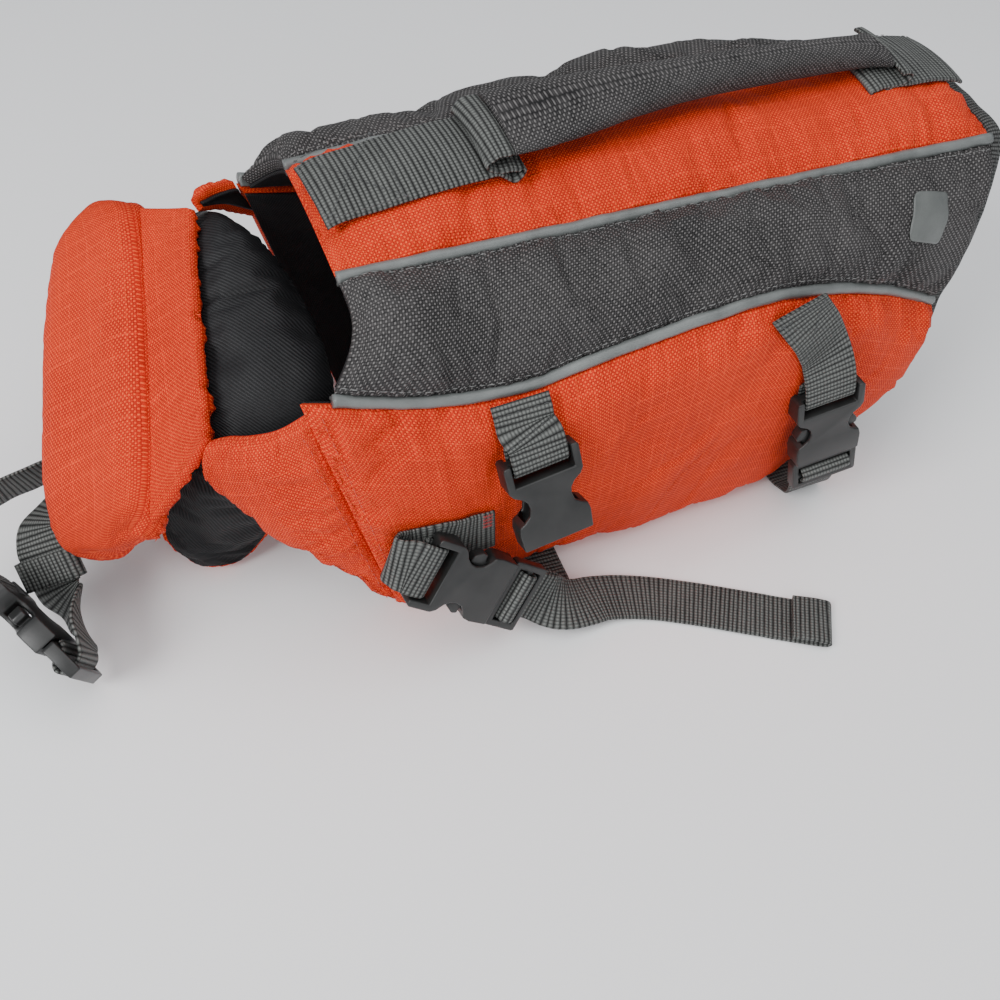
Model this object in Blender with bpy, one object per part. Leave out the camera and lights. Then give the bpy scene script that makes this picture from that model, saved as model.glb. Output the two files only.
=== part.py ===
# Dog life jacket, small: padded orange and charcoal panels, chin float, handle, webbing and buckles.
# Tables are in millimetres: x along the back from the neck edge to the tail, y from the near side (-)
# to the far side (+), z up from the table.
import math
from collections import namedtuple

import bmesh
import bpy
from mathutils import Vector
from mathutils.bvhtree import BVHTree

for old in list(bpy.data.objects):
    bpy.data.objects.remove(old, do_unlink=True)

MM = 0.001
SHIFT = Vector((-58.6, 8.35, 0.0))   # from the neck edge of the back to the middle of the whole footprint

GAP = 0.3             # between two sewn pieces
EDGE = 3.6            # thickness of a panel where it is sewn
LINING = 1.1          # thickness of the twill lining
PIPE_R = 2.1          # radius of the reflective piping
WEB = 20.0            # narrow webbing
WEB_WIDE = 32.0       # handle webbing
WEB_T = 1.4           # thickness of webbing


# ---------------------------------------------------------------- materials
def material(name, colour, roughness):
    made = bpy.data.materials.new(name)
    made.use_nodes = True
    shader = made.node_tree.nodes["Principled BSDF"]
    shader.inputs["Base Color"].default_value = (*colour, 1.0)
    shader.inputs["Roughness"].default_value = roughness
    return made


ORANGE = material("orange_ripstop", (0.78, 0.10, 0.03), 0.75)
CHARCOAL = material("charcoal_600d", (0.055, 0.055, 0.058), 0.8)
TWILL = material("black_twill", (0.012, 0.012, 0.013), 0.55)
WEBBING = material("grey_webbing", (0.075, 0.085, 0.08), 0.8)
PIPING = material("reflective_piping", (0.22, 0.24, 0.23), 0.45)
PATCH = material("reflective_patch", (0.30, 0.32, 0.31), 0.4)
PLASTIC = material("buckle_plastic", (0.075, 0.08, 0.08), 0.5)


# ---------------------------------------------------------------- mesh helpers
facets = {}           # the facets of each solid, for the webbing that lies on it


def solid(name, points, faces, look):
    facets[name] = BVHTree.FromPolygons([Vector(p) for p in points], faces)
    mesh = bpy.data.meshes.new(name)
    mesh.from_pydata([(Vector(p) + SHIFT) * MM for p in points], [], faces)
    shape = bmesh.new()
    shape.from_mesh(mesh)
    bmesh.ops.recalc_face_normals(shape, faces=shape.faces)
    if shape.calc_volume(signed=True) < 0.0:
        bmesh.ops.reverse_faces(shape, faces=shape.faces)
    shape.to_mesh(mesh)
    shape.free()
    for face in mesh.polygons:
        face.use_smooth = True
    mesh.materials.append(look)
    made = bpy.data.objects.new(name, mesh)
    bpy.context.scene.collection.objects.link(made)
    return made


def sheet_between(name, top, bottom, look):
    """Closed wall between two matching grids of points."""
    rows, cols = len(top), len(top[0])
    points = [p for row in top for p in row] + [p for row in bottom for p in row]
    half = rows * cols

    def at(r, c, side=0):
        return side * half + r * cols + c

    faces = []
    for r in range(rows - 1):
        for c in range(cols - 1):
            faces.append((at(r, c), at(r, c + 1), at(r + 1, c + 1), at(r + 1, c)))
            faces.append((at(r, c, 1), at(r + 1, c, 1), at(r + 1, c + 1, 1), at(r, c + 1, 1)))
    rim = ([(0, c) for c in range(cols)] + [(r, cols - 1) for r in range(1, rows)]
           + [(rows - 1, c) for c in range(cols - 2, -1, -1)] + [(r, 0) for r in range(rows - 2, 0, -1)])
    for (r, c), (r2, c2) in zip(rim, rim[1:] + rim[:1]):
        faces.append((at(r, c), at(r2, c2), at(r2, c2, 1), at(r, c, 1)))
    return solid(name, points, faces, look)


def sweep(name, path, sections, look, closed=False, droops=None):
    """path: (position, across, up) at each step; sections: one loop of (across, up) offsets for each."""
    points, faces, n, steps_along = [], [], len(sections[0]), len(path)
    for (place, across, up), section, droop in zip(path, sections, droops or [0.0] * len(path)):
        half = max(a for a, _ in section)
        points += [place + across * a + up * b - Vector((0, 0, droop * (a / half) ** 2)) for a, b in section]
    for k in range(steps_along if closed else steps_along - 1):
        here, there = k * n, (k + 1) % steps_along * n
        for i in range(n):
            j = (i + 1) % n
            if i < n // 2:      # both sides of a twisted strip are split along the same diagonal
                faces += [(here + i, here + j, there + j), (here + i, there + j, there + i)]
            else:
                faces += [(here + i, here + j, there + i), (here + j, there + j, there + i)]
    if not closed:
        last = (steps_along - 1) * n
        faces.append(tuple(range(n)))
        faces.append(tuple(last + i for i in reversed(range(n))))
    return solid(name, points, faces, look)


# ---------------------------------------------------------------- curves and surfaces
def smooth(rows, t):
    """A row of the table at t (0 to 1), Catmull-Rom between rows, straight beyond the ends."""
    n = len(rows) - 1
    s = t * n
    i = min(max(int(math.floor(s)), 0), n - 1)
    f = s - i
    a, b, c, d = rows[max(i - 1, 0)], rows[i], rows[i + 1], rows[min(i + 2, n)]
    if f < 0.0 or f > 1.0:
        return type(b)(*(q + (r - q) * f for q, r in zip(b, c)))
    return type(b)(*(0.5 * (2 * q + (r - p) * f + (2 * p - 5 * q + 4 * r - w) * f * f
                            + (3 * q - p - 3 * r + w) * f ** 3) for p, q, r, w in zip(a, b, c, d)))


def normal_of(surface, u, v, flip=1.0):
    step = 0.004
    du = surface(u + step, v) - surface(u - step, v)
    dv = surface(u, v + step) - surface(u, v - step)
    return du.cross(dv).normalized() * flip


def patch(edge_a, edge_b, bow, flip=1.0):
    """Surface ruled between two edge curves and bowed outward by bow(u) in the middle."""
    def ruled(u, v):
        return edge_a(u).lerp(edge_b(u), v)

    def surface(u, v):
        lift = bow(u) * 4.0 * v * (1.0 - v)
        if abs(lift) < 1e-6:
            return ruled(u, v)
        return ruled(u, v) + normal_of(ruled, u, 0.5, flip) * lift
    return surface


def steps(length, count, margins, first=2.6):
    """Parameters 0..1 along a side of a panel, closer together where its rim rounds over."""
    first = min(first, length / 11.0)
    start, end = margins[0] / length, 1.0 - margins[1] / length
    near = [0.0, first / length, 3.0 * first / length]
    inner = [near[2] + (end - start - 2 * near[2]) * k / (count - 5) for k in range(1, count - 5)]
    return ([start + k for k in near] + [start + k for k in inner] + [end - k for k in reversed(near)])


def rounded(distance, radius):
    k = min(max(distance / radius, 0.0), 1.0)
    return math.sqrt(1.0 - (1.0 - k) ** 2)


def ease(distance, reach):
    """0 to 1 over reach, levelling off."""
    return 1.0 - (1.0 - min(max(distance / reach, 0.0), 1.0)) ** 2


Fold = namedtuple("Fold", "u lean width depth")   # soft trough across a panel
Pocket = namedtuple("Pocket", "surface length margins puff flip folds radius")   # margins: u, u, v, v in mm


def width_at(pocket, u):
    return (pocket.surface(u, 1.0) - pocket.surface(u, 0.0)).length


def skin(pocket, u, v):
    """Ruled place, outward direction, 0..1 plumpness and outer height at (u, v)."""
    length, width, m = pocket.length, width_at(pocket, u), pocket.margins
    from_rims = (u * length - m[0], (1.0 - u) * length - m[1], v * width - m[2], (1.0 - v) * width - m[3])
    plump = math.prod(rounded(distance, pocket.radius) for distance in from_rims)
    dip = sum(f.depth * math.exp(-((u - f.u - f.lean * (v - 0.5)) * length / f.width) ** 2)
              for f in pocket.folds)
    return (pocket.surface(u, v), normal_of(pocket.surface, u, v, pocket.flip), plump,
            plump * (pocket.puff - dip))


def on_panel(pocket, u, v, lift):
    """Point above the pocket's outer cloth, and the outward direction there."""
    place, out, _, height = skin(pocket, u, v)
    return place + out * (height + lift), out


TAPER = 1.4           # how far the inner side of a rim is drawn in from the outer side


def drawn_in(t, length):
    return 0.5 + (t - 0.5) * (1.0 - 2.0 * min(TAPER / length, 0.12))


def padded_panel(name, look, pocket, counts, lined=True, edge=EDGE, hem=None, back_puff=0.0,
                 lining_up=False):
    """Foam pocket: plump outside, sewn rim, lining on the other side."""
    grids = ([], [], [], [])
    for u in steps(pocket.length, counts[0], pocket.margins[:2]):
        rows = ([], [], [], [])
        width = width_at(pocket, u)
        vs = steps(width, counts[1], pocket.margins[2:])
        for v in vs:
            place, out, plump, face = skin(pocket, u, v)
            inner_v = v + TAPER / width * (1.0 - v) if hem else drawn_in(v, width)
            inner_place, inner_out = skin(pocket, drawn_in(u, pocket.length), inner_v)[:2]
            rear = -edge - back_puff * plump
            heights = ((face - LINING - GAP, rear, face, face - LINING) if lining_up
                       else (face, rear, rear - GAP, rear - GAP - LINING))
            inward = (False, True, False, False) if lining_up else (False, True, True, True)
            for row, height, inner in zip(rows, heights, inward):
                spot = inner_place + inner_out * height if inner else place + out * height
                if hem and v == vs[-1]:
                    spot.z = hem(u)
                row.append(spot)
        for grid, row in zip(grids, rows):
            grid.append(row)
    sheet_between(name, grids[0], grids[1], look)
    if lined:
        sheet_between(name + "_lining", grids[2], grids[3], TWILL)


# ---------------------------------------------------------------- body ribs, neck to tail
Rib = namedtuple("Rib", "x_top x_low x_hem mid top low z_low hem z_hem rise")   # rise: far side's height
RIBS = (
    Rib(0, -12, 4, 0.0, 30.5, 60.0, 110.0, 63.0, 0.0, 2.0),
    Rib(31, 18, 28, 1.0, 31.5, 62.8, 101.5, 60.7, 0.0, 3.2),
    Rib(63, 48, 52, 2.0, 32.5, 65.7, 99.5, 59.5, 2.6, 3.4),
    Rib(94, 78, 76, 3.5, 34.0, 68.3, 105.5, 60.5, 2.6, 3.2),
    Rib(125, 108, 100, 5.0, 35.5, 70.0, 110.0, 62.0, 0.0, 3.0),
    Rib(157, 139, 125, 7.0, 37.5, 70.3, 111.0, 63.3, 0.0, 3.0),
    Rib(188, 170, 150, 8.8, 39.3, 69.0, 104.5, 63.6, 0.0, 2.5),
    Rib(220, 202, 172, 9.4, 39.9, 64.5, 91.5, 61.5, 2.6, 1.2),
    Rib(251, 233, 190, 9.6, 40.1, 60.0, 75.0, 57.5, 3.0, -1.0),
)
TOP_Z = 130.0
BACK_L, LOW_L = 251.0, 245.0
SEAM = 2.3            # from the middle of a piping to the panel beside it
SIDES = ((-1, "near"), (1, "far"))


def far_rise(side, rib):
    return rib.rise if side > 0 else 0.0


def top_edge(side):
    def curve(u):
        rib = smooth(RIBS, u)
        return Vector((rib.x_top, rib.mid + side * rib.top, TOP_Z + far_rise(side, rib)))
    return curve


def low_edge(side):
    def curve(u):
        rib = smooth(RIBS, u)
        return Vector((rib.x_low, rib.mid + side * (rib.low + 0.3 * far_rise(side, rib)),
                       rib.z_low + far_rise(side, rib)))
    return curve


def hem_edge(side):
    def curve(u):
        rib = smooth(RIBS, u)
        shift = 12.0 * max(1.0 - 4.0 * u, 0.0) ** 2 if side > 0 else 0.0
        return Vector((rib.x_hem + shift, rib.mid + side * rib.hem, rib.z_hem))
    return curve


def hem_height(u):
    return max(smooth(RIBS, u).z_hem, 0.0)


# crown of the back: none at the neck edge, where the handle webbing pulls it down
back = Pocket(patch(top_edge(-1), top_edge(1), lambda u: 6.0 * ease(u * BACK_L + 8.0, 50.0)),
              BACK_L, (0.0, 0.0, SEAM, SEAM), 5.5, 1.0,
              (Fold(0.33, 0.05, 12.0, 1.0), Fold(0.62, -0.04, 12.0, 1.0)), 24.0)
padded_panel("back_panel", ORANGE, back, (19, 11))

SIDE_FOLDS = {
    -1: (Fold(0.17, 0.06, 11.0, 1.4), Fold(0.36, -0.05, 12.0, 2.0), Fold(0.50, 0.03, 9.0, 1.2),
         Fold(0.76, 0.04, 12.0, 1.0)),
    1: (Fold(0.22, -0.05, 12.0, 1.4), Fold(0.47, 0.05, 11.0, 1.8), Fold(0.70, 0.0, 12.0, 1.2)),
}
LOW_FOLDS = {
    -1: (Fold(0.20, 0.04, 12.0, 1.2), Fold(0.44, -0.03, 12.0, 1.0), Fold(0.83, 0.10, 9.0, 1.8)),
    1: (Fold(0.30, -0.04, 13.0, 1.4), Fold(0.62, 0.05, 12.0, 1.2), Fold(0.86, 0.08, 9.0, 1.6)),
}
WING_START = -0.036   # the near lower panel begins at the slanted seam, ahead of the first rib


def flank_surface(side):
    extra = 0.0 if side < 0 else 1.5
    flat = patch(top_edge(side), low_edge(side), lambda u: 4.0 + extra * ease(u * BACK_L, 50.0), side)

    def surface(u, v):
        """The neck edge of the side panel is scooped a little."""
        return flat(u, v) + Vector((5.0 * math.sin(math.pi * v) * max(1.0 - 5.0 * u, 0.0), 0, 0))
    return surface


def lower_surface(side):
    start = WING_START if side < 0 else 0.0
    flat = patch(lambda u: low_edge(side)(start + (1.0 - start) * u), hem_edge(side),
                 lambda u: 7.0 - 2.0 * u, side)

    def surface(u, v):
        """The tail edge swings out before the hem."""
        return flat(u, v) + Vector((9.0 * math.sin(math.pi * v) * max(u, 0.0) ** 6, 0, 0))
    return surface


flank, lower = {}, {}
for side, where in SIDES:
    flank[side] = Pocket(flank_surface(side), BACK_L, (0.0, 0.0, SEAM, SEAM), 6.0, side,
                         SIDE_FOLDS[side], 13.0)
    padded_panel("side_panel_" + where, CHARCOAL, flank[side], (18, 9))
    lower[side] = Pocket(lower_surface(side), LOW_L, (0.5, 0.0, SEAM + (0.4 if side > 0 else 0.0), 0.0),
                         6.5, side,
                         LOW_FOLDS[side], 16.0)
    padded_panel("lower_panel_" + where, ORANGE, lower[side], (17, 11), hem=hem_height)

# ---------------------------------------------------------------- piping and rear binding
FLANGE = 3.4          # how deep the piping's flange reaches into the seam


def piping_section():
    """Round bead on a thin flange that is caught in the seam."""
    bead = [(PIPE_R * math.cos(a), PIPE_R * math.sin(a))
            for a in (math.radians(d) for d in (-62, -10, 40, 90, 140, 190, 242))]
    return [(0.4, -FLANGE)] + [(0.4, bead[0][1])] + bead[1:-1] + [(-0.4, bead[-1][1])] + [(-0.4, -FLANGE)]


def bead(name, edge, ts, flank_a, flank_b):
    """Piping along a seam: it stands along the mean of the two panels' outward directions."""
    frames = []
    for t in ts:
        tangent = (edge(t + 0.004) - edge(t - 0.004)).normalized()
        up = flank_a(t) + flank_b(t)
        across = tangent.cross(up).normalized()
        up = across.cross(tangent).normalized()
        frames.append((edge(t) + up * 0.7, across, up))
    sweep(name, frames, [piping_section()] * len(frames), PIPING)


for side, where in SIDES:
    ts = steps(BACK_L, 18, (0.0, 2.0))

    def out_of(pocket, v):
        return lambda t, pocket=pocket, v=v: normal_of(pocket.surface, t, v, pocket.flip)
    bead("piping_upper_" + where, top_edge(side), ts, out_of(back, 0.5 + 0.4 * side), out_of(flank[side], 0.1))
    bead("piping_lower_" + where, low_edge(side), ts, out_of(flank[side], 0.9), out_of(lower[side], 0.1))

BAND = 5.6            # visible width of the rear binding
BAND_T = 5.2


def tail_loop():
    """Places along the tail edge, from the near hem over the back to the far hem."""
    halves = []
    for side, _ in SIDES:
        run = [(lower[side], v) for v in (0.985, 0.9, 0.78, 0.64, 0.5, 0.36, 0.22, 0.1)]
        run += [(flank[side], v) for v in (1.0, 0.75, 0.5, 0.25)]
        halves.append(run)
    run = halves[0] + [(back, v) for v in (0.02, 0.2, 0.4, 0.6, 0.8, 0.98)] + halves[1][::-1]
    return [(p.surface(1.0, v), (p.surface(1.0, v) - p.surface(0.985, v)).normalized()) for p, v in run]


loop = tail_loop()
frames = []
for k, (spot, away) in enumerate(loop):
    tangent = (loop[min(k + 1, len(loop) - 1)][0] - loop[max(k - 1, 0)][0]).normalized()
    away = (away - tangent * away.dot(tangent)).normalized()
    up = away.cross(tangent).normalized()
    frames.append((spot + away * (BAND / 2 + 0.5) - up * EDGE * 0.45, away, up))
half, thick = BAND / 2, BAND_T / 2
BAND_SECTION = [(-half, -thick * 0.9), (half * 0.6, -thick), (half, -thick * 0.4),
                (half, thick * 0.4), (half * 0.6, thick), (-half, thick * 0.9)]
sweep("rear_binding", frames, [BAND_SECTION] * len(frames), WEBBING)

# ---------------------------------------------------------------- front wing and arm
Span = namedtuple("Span", "ax ay az bx by bz")    # upper point a and lower point b of a section


def edge_of(rows, lower_point):
    def curve(u):
        row = smooth(rows, u)
        return Vector(row[3:]) if lower_point else Vector(row[:3])
    return curve


WING = (                      # from the slanted seam to the nose
    Span(-20.5, -60.4, 107.5, 4.0, -63.0, 1.0),
    Span(-28.5, -54.5, 98.0, -15.5, -60.5, 28.5),
    Span(-36.5, -46.5, 90.5, -31.0, -53.0, 44.5),
    Span(-42.5, -39.5, 85.5, -44.0, -43.5, 57.5),
    Span(-48.5, -34.0, 80.0, -51.5, -35.0, 68.5),
)
wing = Pocket(patch(edge_of(WING, False), edge_of(WING, True), lambda u: 4.5 * (1 - 0.7 * u), 1.0),
              62.0, (1.6, 2.4, 0.0, 0.0), 4.5, 1.0, (), 11.0)
padded_panel("front_wing_near", ORANGE, wing, (9, 8), edge=3.2)

ARM = (                       # from the body to the chest piece
    Span(-14.0, 61.0, 111.5, -7.5, 62.5, 94.0),
    Span(-18.0, 58.0, 113.5, -14.0, 59.5, 99.0),
    Span(-23.0, 53.5, 115.5, -21.5, 55.0, 105.0),
    Span(-29.0, 48.0, 117.0, -29.5, 49.0, 109.5),
)
arm = Pocket(patch(edge_of(ARM, False), edge_of(ARM, True), lambda u: 2.0, -1.0),
             26.0, (2.2, 0.0, 0.0, 0.0), 4.0, -1.0, (), 7.0)
padded_panel("front_arm_far", ORANGE, arm, (7, 7), edge=2.2)

# ---------------------------------------------------------------- chest panel and chin float
CHEST = (                     # a: throat edge, b: leg-opening edge; near lobe on the table to far lobe
    Span(-64.0, -20.5, 3.0, -47.0, -23.5, 3.0),
    Span(-73.0, -14.5, 20.0, -37.0, -23.5, 13.0),
    Span(-65.0, -18.0, 47.0, -25.0, -28.0, 38.0),
    Span(-52.0, -24.0, 68.0, -9.0, -33.0, 64.0),
    Span(-49.0, -15.0, 77.5, -3.5, -23.0, 80.0),
    Span(-45.0, 6.0, 86.5, -3.0, 2.0, 89.0),
    Span(-41.5, 24.0, 94.5, -7.0, 25.0, 95.5),
    Span(-38.0, 40.0, 100.5, -14.0, 43.0, 99.0),
    Span(-39.0, 55.0, 100.5, -22.0, 57.0, 88.0),
    Span(-45.0, 66.0, 96.0, -32.0, 67.0, 83.0),
)
chest = Pocket(patch(edge_of(CHEST, False), edge_of(CHEST, True), lambda u: 3.0, -1.0),
               170.0, (0.0, 0.0, 0.0, 0.0), 5.0, -1.0, (), 14.0)
padded_panel("chest_panel", ORANGE, chest, (16, 9), edge=5.5, back_puff=3.0, lining_up=True)

Throat = namedtuple("Throat", "tx ty tz hx hy hz")   # throat edge t and hinge seam h of the border
BORDER = (
    Throat(-47.5, -36.0, 82.5, -72.0, -46.5, 62.0),
    Throat(-44.0, -18.0, 90.0, -65.0, -22.0, 72.0),
    Throat(-39.0, 6.0, 98.5, -58.0, 10.0, 84.0),
    Throat(-34.5, 28.0, 107.5, -52.0, 38.0, 96.0),
    Throat(-30.5, 45.0, 113.0, -47.0, 62.0, 106.0),
)
border = Pocket(patch(edge_of(BORDER, False), edge_of(BORDER, True), lambda u: 0.5, -1.0),
                96.0, (0.0, 0.0, 0.6, 0.3), 2.2, -1.0, (), 8.0)
padded_panel("float_hinge_border", ORANGE, border, (11, 7), lined=False, edge=3.0)

FLOAT = (                     # hinge seam a, outer edge b; near end to far end
    Span(-78.0, -45.0, 56.0, -91.0, -40.0, 44.0),
    Span(-70.9, -41.0, 63.7, -103.0, -30.0, 40.0),
    Span(-65.0, -22.6, 71.8, -105.0, -12.0, 49.0),
    Span(-57.9, 10.0, 84.1, -98.5, 20.0, 62.0),
    Span(-51.6, 39.8, 96.6, -90.5, 50.0, 74.0),
    Span(-48.5, 62.5, 105.2, -81.0, 72.0, 86.0),
    Span(-51.0, 70.0, 104.5, -70.0, 76.0, 94.0),
)
lobe = Pocket(patch(edge_of(FLOAT, False), edge_of(FLOAT, True), lambda u: 2.0, -1.0),
              142.0, (0.0, 0.0, 0.4, 0.0), 9.5, -1.0, (), 15.0)
padded_panel("chin_float", ORANGE, lobe, (15, 10), lined=False, edge=3.0, back_puff=8.0)

# ---------------------------------------------------------------- webbing
# middle of the webbing, the direction across it, and how far its edges hang below its middle
Turn = namedtuple("Turn", "x y z ax ay az sag", defaults=(0.0,))


def flat_section(width, thick, columns):
    """Webbing cut across, with thin rounded edges."""
    inner = width / 2 - 0.7
    tops = [inner - 2 * inner * k / (columns - 1) for k in range(columns)]
    return ([(width / 2, 0.0)] + [(a, thick / 2) for a in tops]
            + [(-width / 2, 0.0)] + [(a, -thick / 2) for a in reversed(tops)])


def curve(turns, per_row=2):
    """Rows of a smooth run through the rows of a table."""
    count = per_row * (len(turns) - 1)
    return [smooth(turns, k / count) for k in range(count + 1)]


def ribbon(name, rows, width=WEB, columns=2):
    """Webbing through rows; its upper face is on the side of across x tangent."""
    frames = []
    for k, row in enumerate(rows):
        a, b = Vector(rows[max(k - 1, 0)][:3]), Vector(rows[min(k + 1, len(rows) - 1)][:3])
        tangent = (b - a).normalized()
        across = Vector(row[3:6])
        across = (across - tangent * across.dot(tangent)).normalized()
        frames.append((Vector(row[:3]), across, across.cross(tangent)))
    return sweep(name, frames, [flat_section(width, WEB_T, columns)] * len(rows), WEBBING,
                 droops=[row.sag for row in rows])


# ---------------------------------------------------------------- side-release buckles
# Local axes: w across, l from the webbing bar to the mouth and on to the slider's end, n outward.
FEMALE_L, CLOSED_L = 33.0, 47.0
HALF_W, HALF_T = 13.5, 4.2
PRONG_T = 2.3         # half the thickness of the male half
BAR_L, SLOT_L = 3.2, 8.2
SLOT_HALF = 10.8      # half the width of a webbing slot
Edge = namedtuple("Edge", "w l")
FEMALE_EDGE = (Edge(13.0, 0.0), Edge(13.5, 1.0), Edge(13.5, 9.5), Edge(12.2, 11.5), Edge(9.6, 13.2),
               Edge(8.0, 15.2), Edge(7.6, 17.6), Edge(8.4, 20.4), Edge(10.6, 22.2), Edge(12.6, 23.2),
               Edge(13.2, 26.0), Edge(12.8, 33.0))
MALE_EDGE = (Edge(13.0, 47.0), Edge(13.5, 46.0), Edge(13.5, 34.5), Edge(12.8, 33.4), Edge(9.9, 33.4),
             Edge(9.9, 21.2), Edge(12.2, 20.8), Edge(12.6, 19.0), Edge(10.6, 16.0), Edge(8.2, 15.4),
             Edge(7.2, 17.5), Edge(7.0, 30.5), Edge(3.0, 31.5), Edge(2.2, 27.0))
Seat = namedtuple("Seat", "place along across")   # where a buckle's bar is, and how it lies


def seat_axes(seat):
    along = Vector(seat.along).normalized()
    across = Vector(seat.across)
    across = (across - along * across.dot(along)).normalized()
    return Vector(seat.place), along, across, across.cross(along)


def seat_point(seat, w, l, n):
    place, along, across, out = seat_axes(seat)
    return place + across * w + along * l + out * n


def mirrored(edge):
    """Both halves of an outline that is the same left and right."""
    return [(e.w, e.l) for e in edge] + [(-e.w, e.l) for e in reversed(edge)]


def prism(seat, outline, low, high, swap=False):
    """Points and faces of an outline (w, l) stood up along n, or (l, n) stood up along w."""
    rings = [[seat_point(seat, h, a, b) if swap else seat_point(seat, a, b, h) for a, b in outline]
             for h in (low, high)]
    n = len(outline)
    faces = [(i, (i + 1) % n, n + (i + 1) % n, n + i) for i in range(n)]
    return rings[0] + rings[1], faces + [tuple(reversed(range(n))), tuple(range(n, 2 * n))]


def block(l0, l1, half):
    return [(half, l0), (half, l1), (-half, l1), (-half, l0)]


def cut(body, name, seat, prisms):
    points, faces = [], []
    for some_points, some_faces in prisms:
        faces += [tuple(i + len(points) for i in face) for face in some_faces]
        points += some_points
    cutter = solid(name, points, faces, PLASTIC)
    cutter.hide_render = True
    cutter.display_type = "WIRE"
    hollow = body.modifiers.new("hollow", "BOOLEAN")
    hollow.operation = "DIFFERENCE"
    hollow.solver = "EXACT"
    hollow.object = cutter


def female(name, seat):
    points, faces = prism(seat, mirrored(FEMALE_EDGE), -HALF_T, HALF_T)
    body = solid(name, points, faces, PLASTIC)
    thin = 1.7        # half the thickness of the webbing bar
    around_bar = [(-1.0, 5.0), (SLOT_L, 5.0), (SLOT_L, -5.0), (-1.0, -5.0), (-1.0, -thin),
                  (BAR_L, -thin), (BAR_L, thin), (-1.0, thin)]
    cut(body, name + "_cutter", seat,
        [prism(seat, around_bar, -SLOT_HALF, SLOT_HALF, swap=True),
         prism(seat, block(14.0, 34.0, 10.2), -PRONG_T - 0.3, PRONG_T + 0.3)])


def male(name, seat):
    points, faces = prism(seat, mirrored(MALE_EDGE), -PRONG_T, PRONG_T)
    body = solid(name, points, faces, PLASTIC)
    cut(body, name + "_cutter", seat,
        [prism(seat, block(36.2, 39.5, SLOT_HALF), -4.0, 4.0),
         prism(seat, block(41.7, 45.0, SLOT_HALF), -4.0, 4.0)])


def wrapped(seat, places, across_sign=1.0):
    """Webbing rows from places (l, n) in a buckle's own axes."""
    _, _, across, _ = seat_axes(seat)
    return [Turn(*seat_point(seat, 0.0, l, n), *(across * across_sign)) for l, n in places]


OVER_BAR = ((-5.0, 2.4), (-1.5, 2.8), (1.6, 2.9), (4.2, 2.4), (5.8, 0.0), (4.2, -2.4), (1.6, -2.9),
            (-1.5, -2.7), (-4.0, -2.1))
SLIDER_IN = ((54.0, -6.4), (48.0, -5.6), (42.0, -5.2), (38.9, -4.0), (37.7, -1.5), (38.0, 2.0))
SLIDER_OUT = ((40.6, 4.0), (43.4, 2.2), (43.4, -1.5), (44.6, -3.4), (48.0, -3.7))


def resting(cloth, place, out, across, along, half, sag=0.0):
    """Middle of webbing that lies on the facets of a panel, raised along out until it clears them."""
    height = -99.0
    for k in (-1.0, -0.5, 0.0, 0.5, 1.0):
        for ahead in (-3.5, 0.0, 3.5):
            start = place + across * (half * k) + along * ahead + out * 20.0
            spot = facets[cloth].ray_cast(start, -out, 40.0)[0]
            if spot is not None:
                height = max(height, (spot - place).dot(out) + sag * k * k)
    return place + out * (height + GAP + 0.5 + WEB_T / 2)


# ---------------------------------------------------------------- handle over the back
HANDLE_TILT = 0.06    # how much the handle leans to the near side across its width


def cross_slope(x):
    """How much the back rises towards its far side."""
    rib = smooth(RIBS, x / BACK_L)
    return rib.rise / (2 * rib.top) + HANDLE_TILT


def back_height(x, y):
    """Height of the outer cloth of the back at x, y."""
    spot = facets["back_panel"].ray_cast(Vector((x, y, 200.0)), Vector((0, 0, -1)), 150.0)[0]
    return spot.z


def handle_row(x, y, z=None):
    """Row of the handle's webbing: on the crown of the back, or at height z above it."""
    slope, sag, half = cross_slope(x), CROWN_SAG, WEB_WIDE / 2
    across = Vector((0.0, -1.0, -slope)).normalized()
    if z is None:
        inside = min(max(x, 0.4), BACK_L - 0.4)
        near, middle, far = (back_height(inside, y + a) for a in (-half, 0.0, half))
        sag = min(max(middle - (near + far) / 2, 0.0), CROWN_SAG)
        z = resting("back_panel", Vector((x, y, middle)), Vector((0, 0, 1)), across,
                    Vector((1, 0, 0)), half, sag).z
    return Turn(x, y, z, *across, sag)


CROWN_SAG = 1.5       # how far the edges of the wide webbing hang below its middle
front_rows = [handle_row(x, 0.03 * x - 3.0) for x in (0.5, 4.0, 9.0, 18.0, 32.0, 48.0, 58.0)]
front_rows += [handle_row(65.0, -1.1, 145.6), handle_row(67.0, -1.1, 148.0), handle_row(64.0, -1.1, 149.4),
               handle_row(58.0, -1.1, 149.8), handle_row(54.8, -1.1, 151.9), handle_row(57.0, -1.1, 154.6),
               handle_row(62.9, -1.0, 155.3)]
ribbon("handle_webbing_front", front_rows, WEB_WIDE, 4)

Grip = namedtuple("Grip", "x y z width thick")
GRIP = (
    Grip(63.7, -1.0, 155.2, 32.0, 4.4),
    Grip(76.0, -0.9, 155.8, 31.0, 6.0),
    Grip(92.0, -0.5, 156.2, 27.0, 8.2),
    Grip(115.0, 0.5, 156.6, 20.0, 9.2),
    Grip(140.0, 1.6, 156.4, 15.5, 9.6),
    Grip(165.0, 2.8, 155.4, 13.5, 9.6),
    Grip(188.0, 4.6, 154.0, 13.0, 9.2),
    Grip(208.0, 6.2, 152.4, 15.5, 7.0),
    Grip(219.0, 7.0, 151.5, 21.0, 4.6),
)


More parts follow.
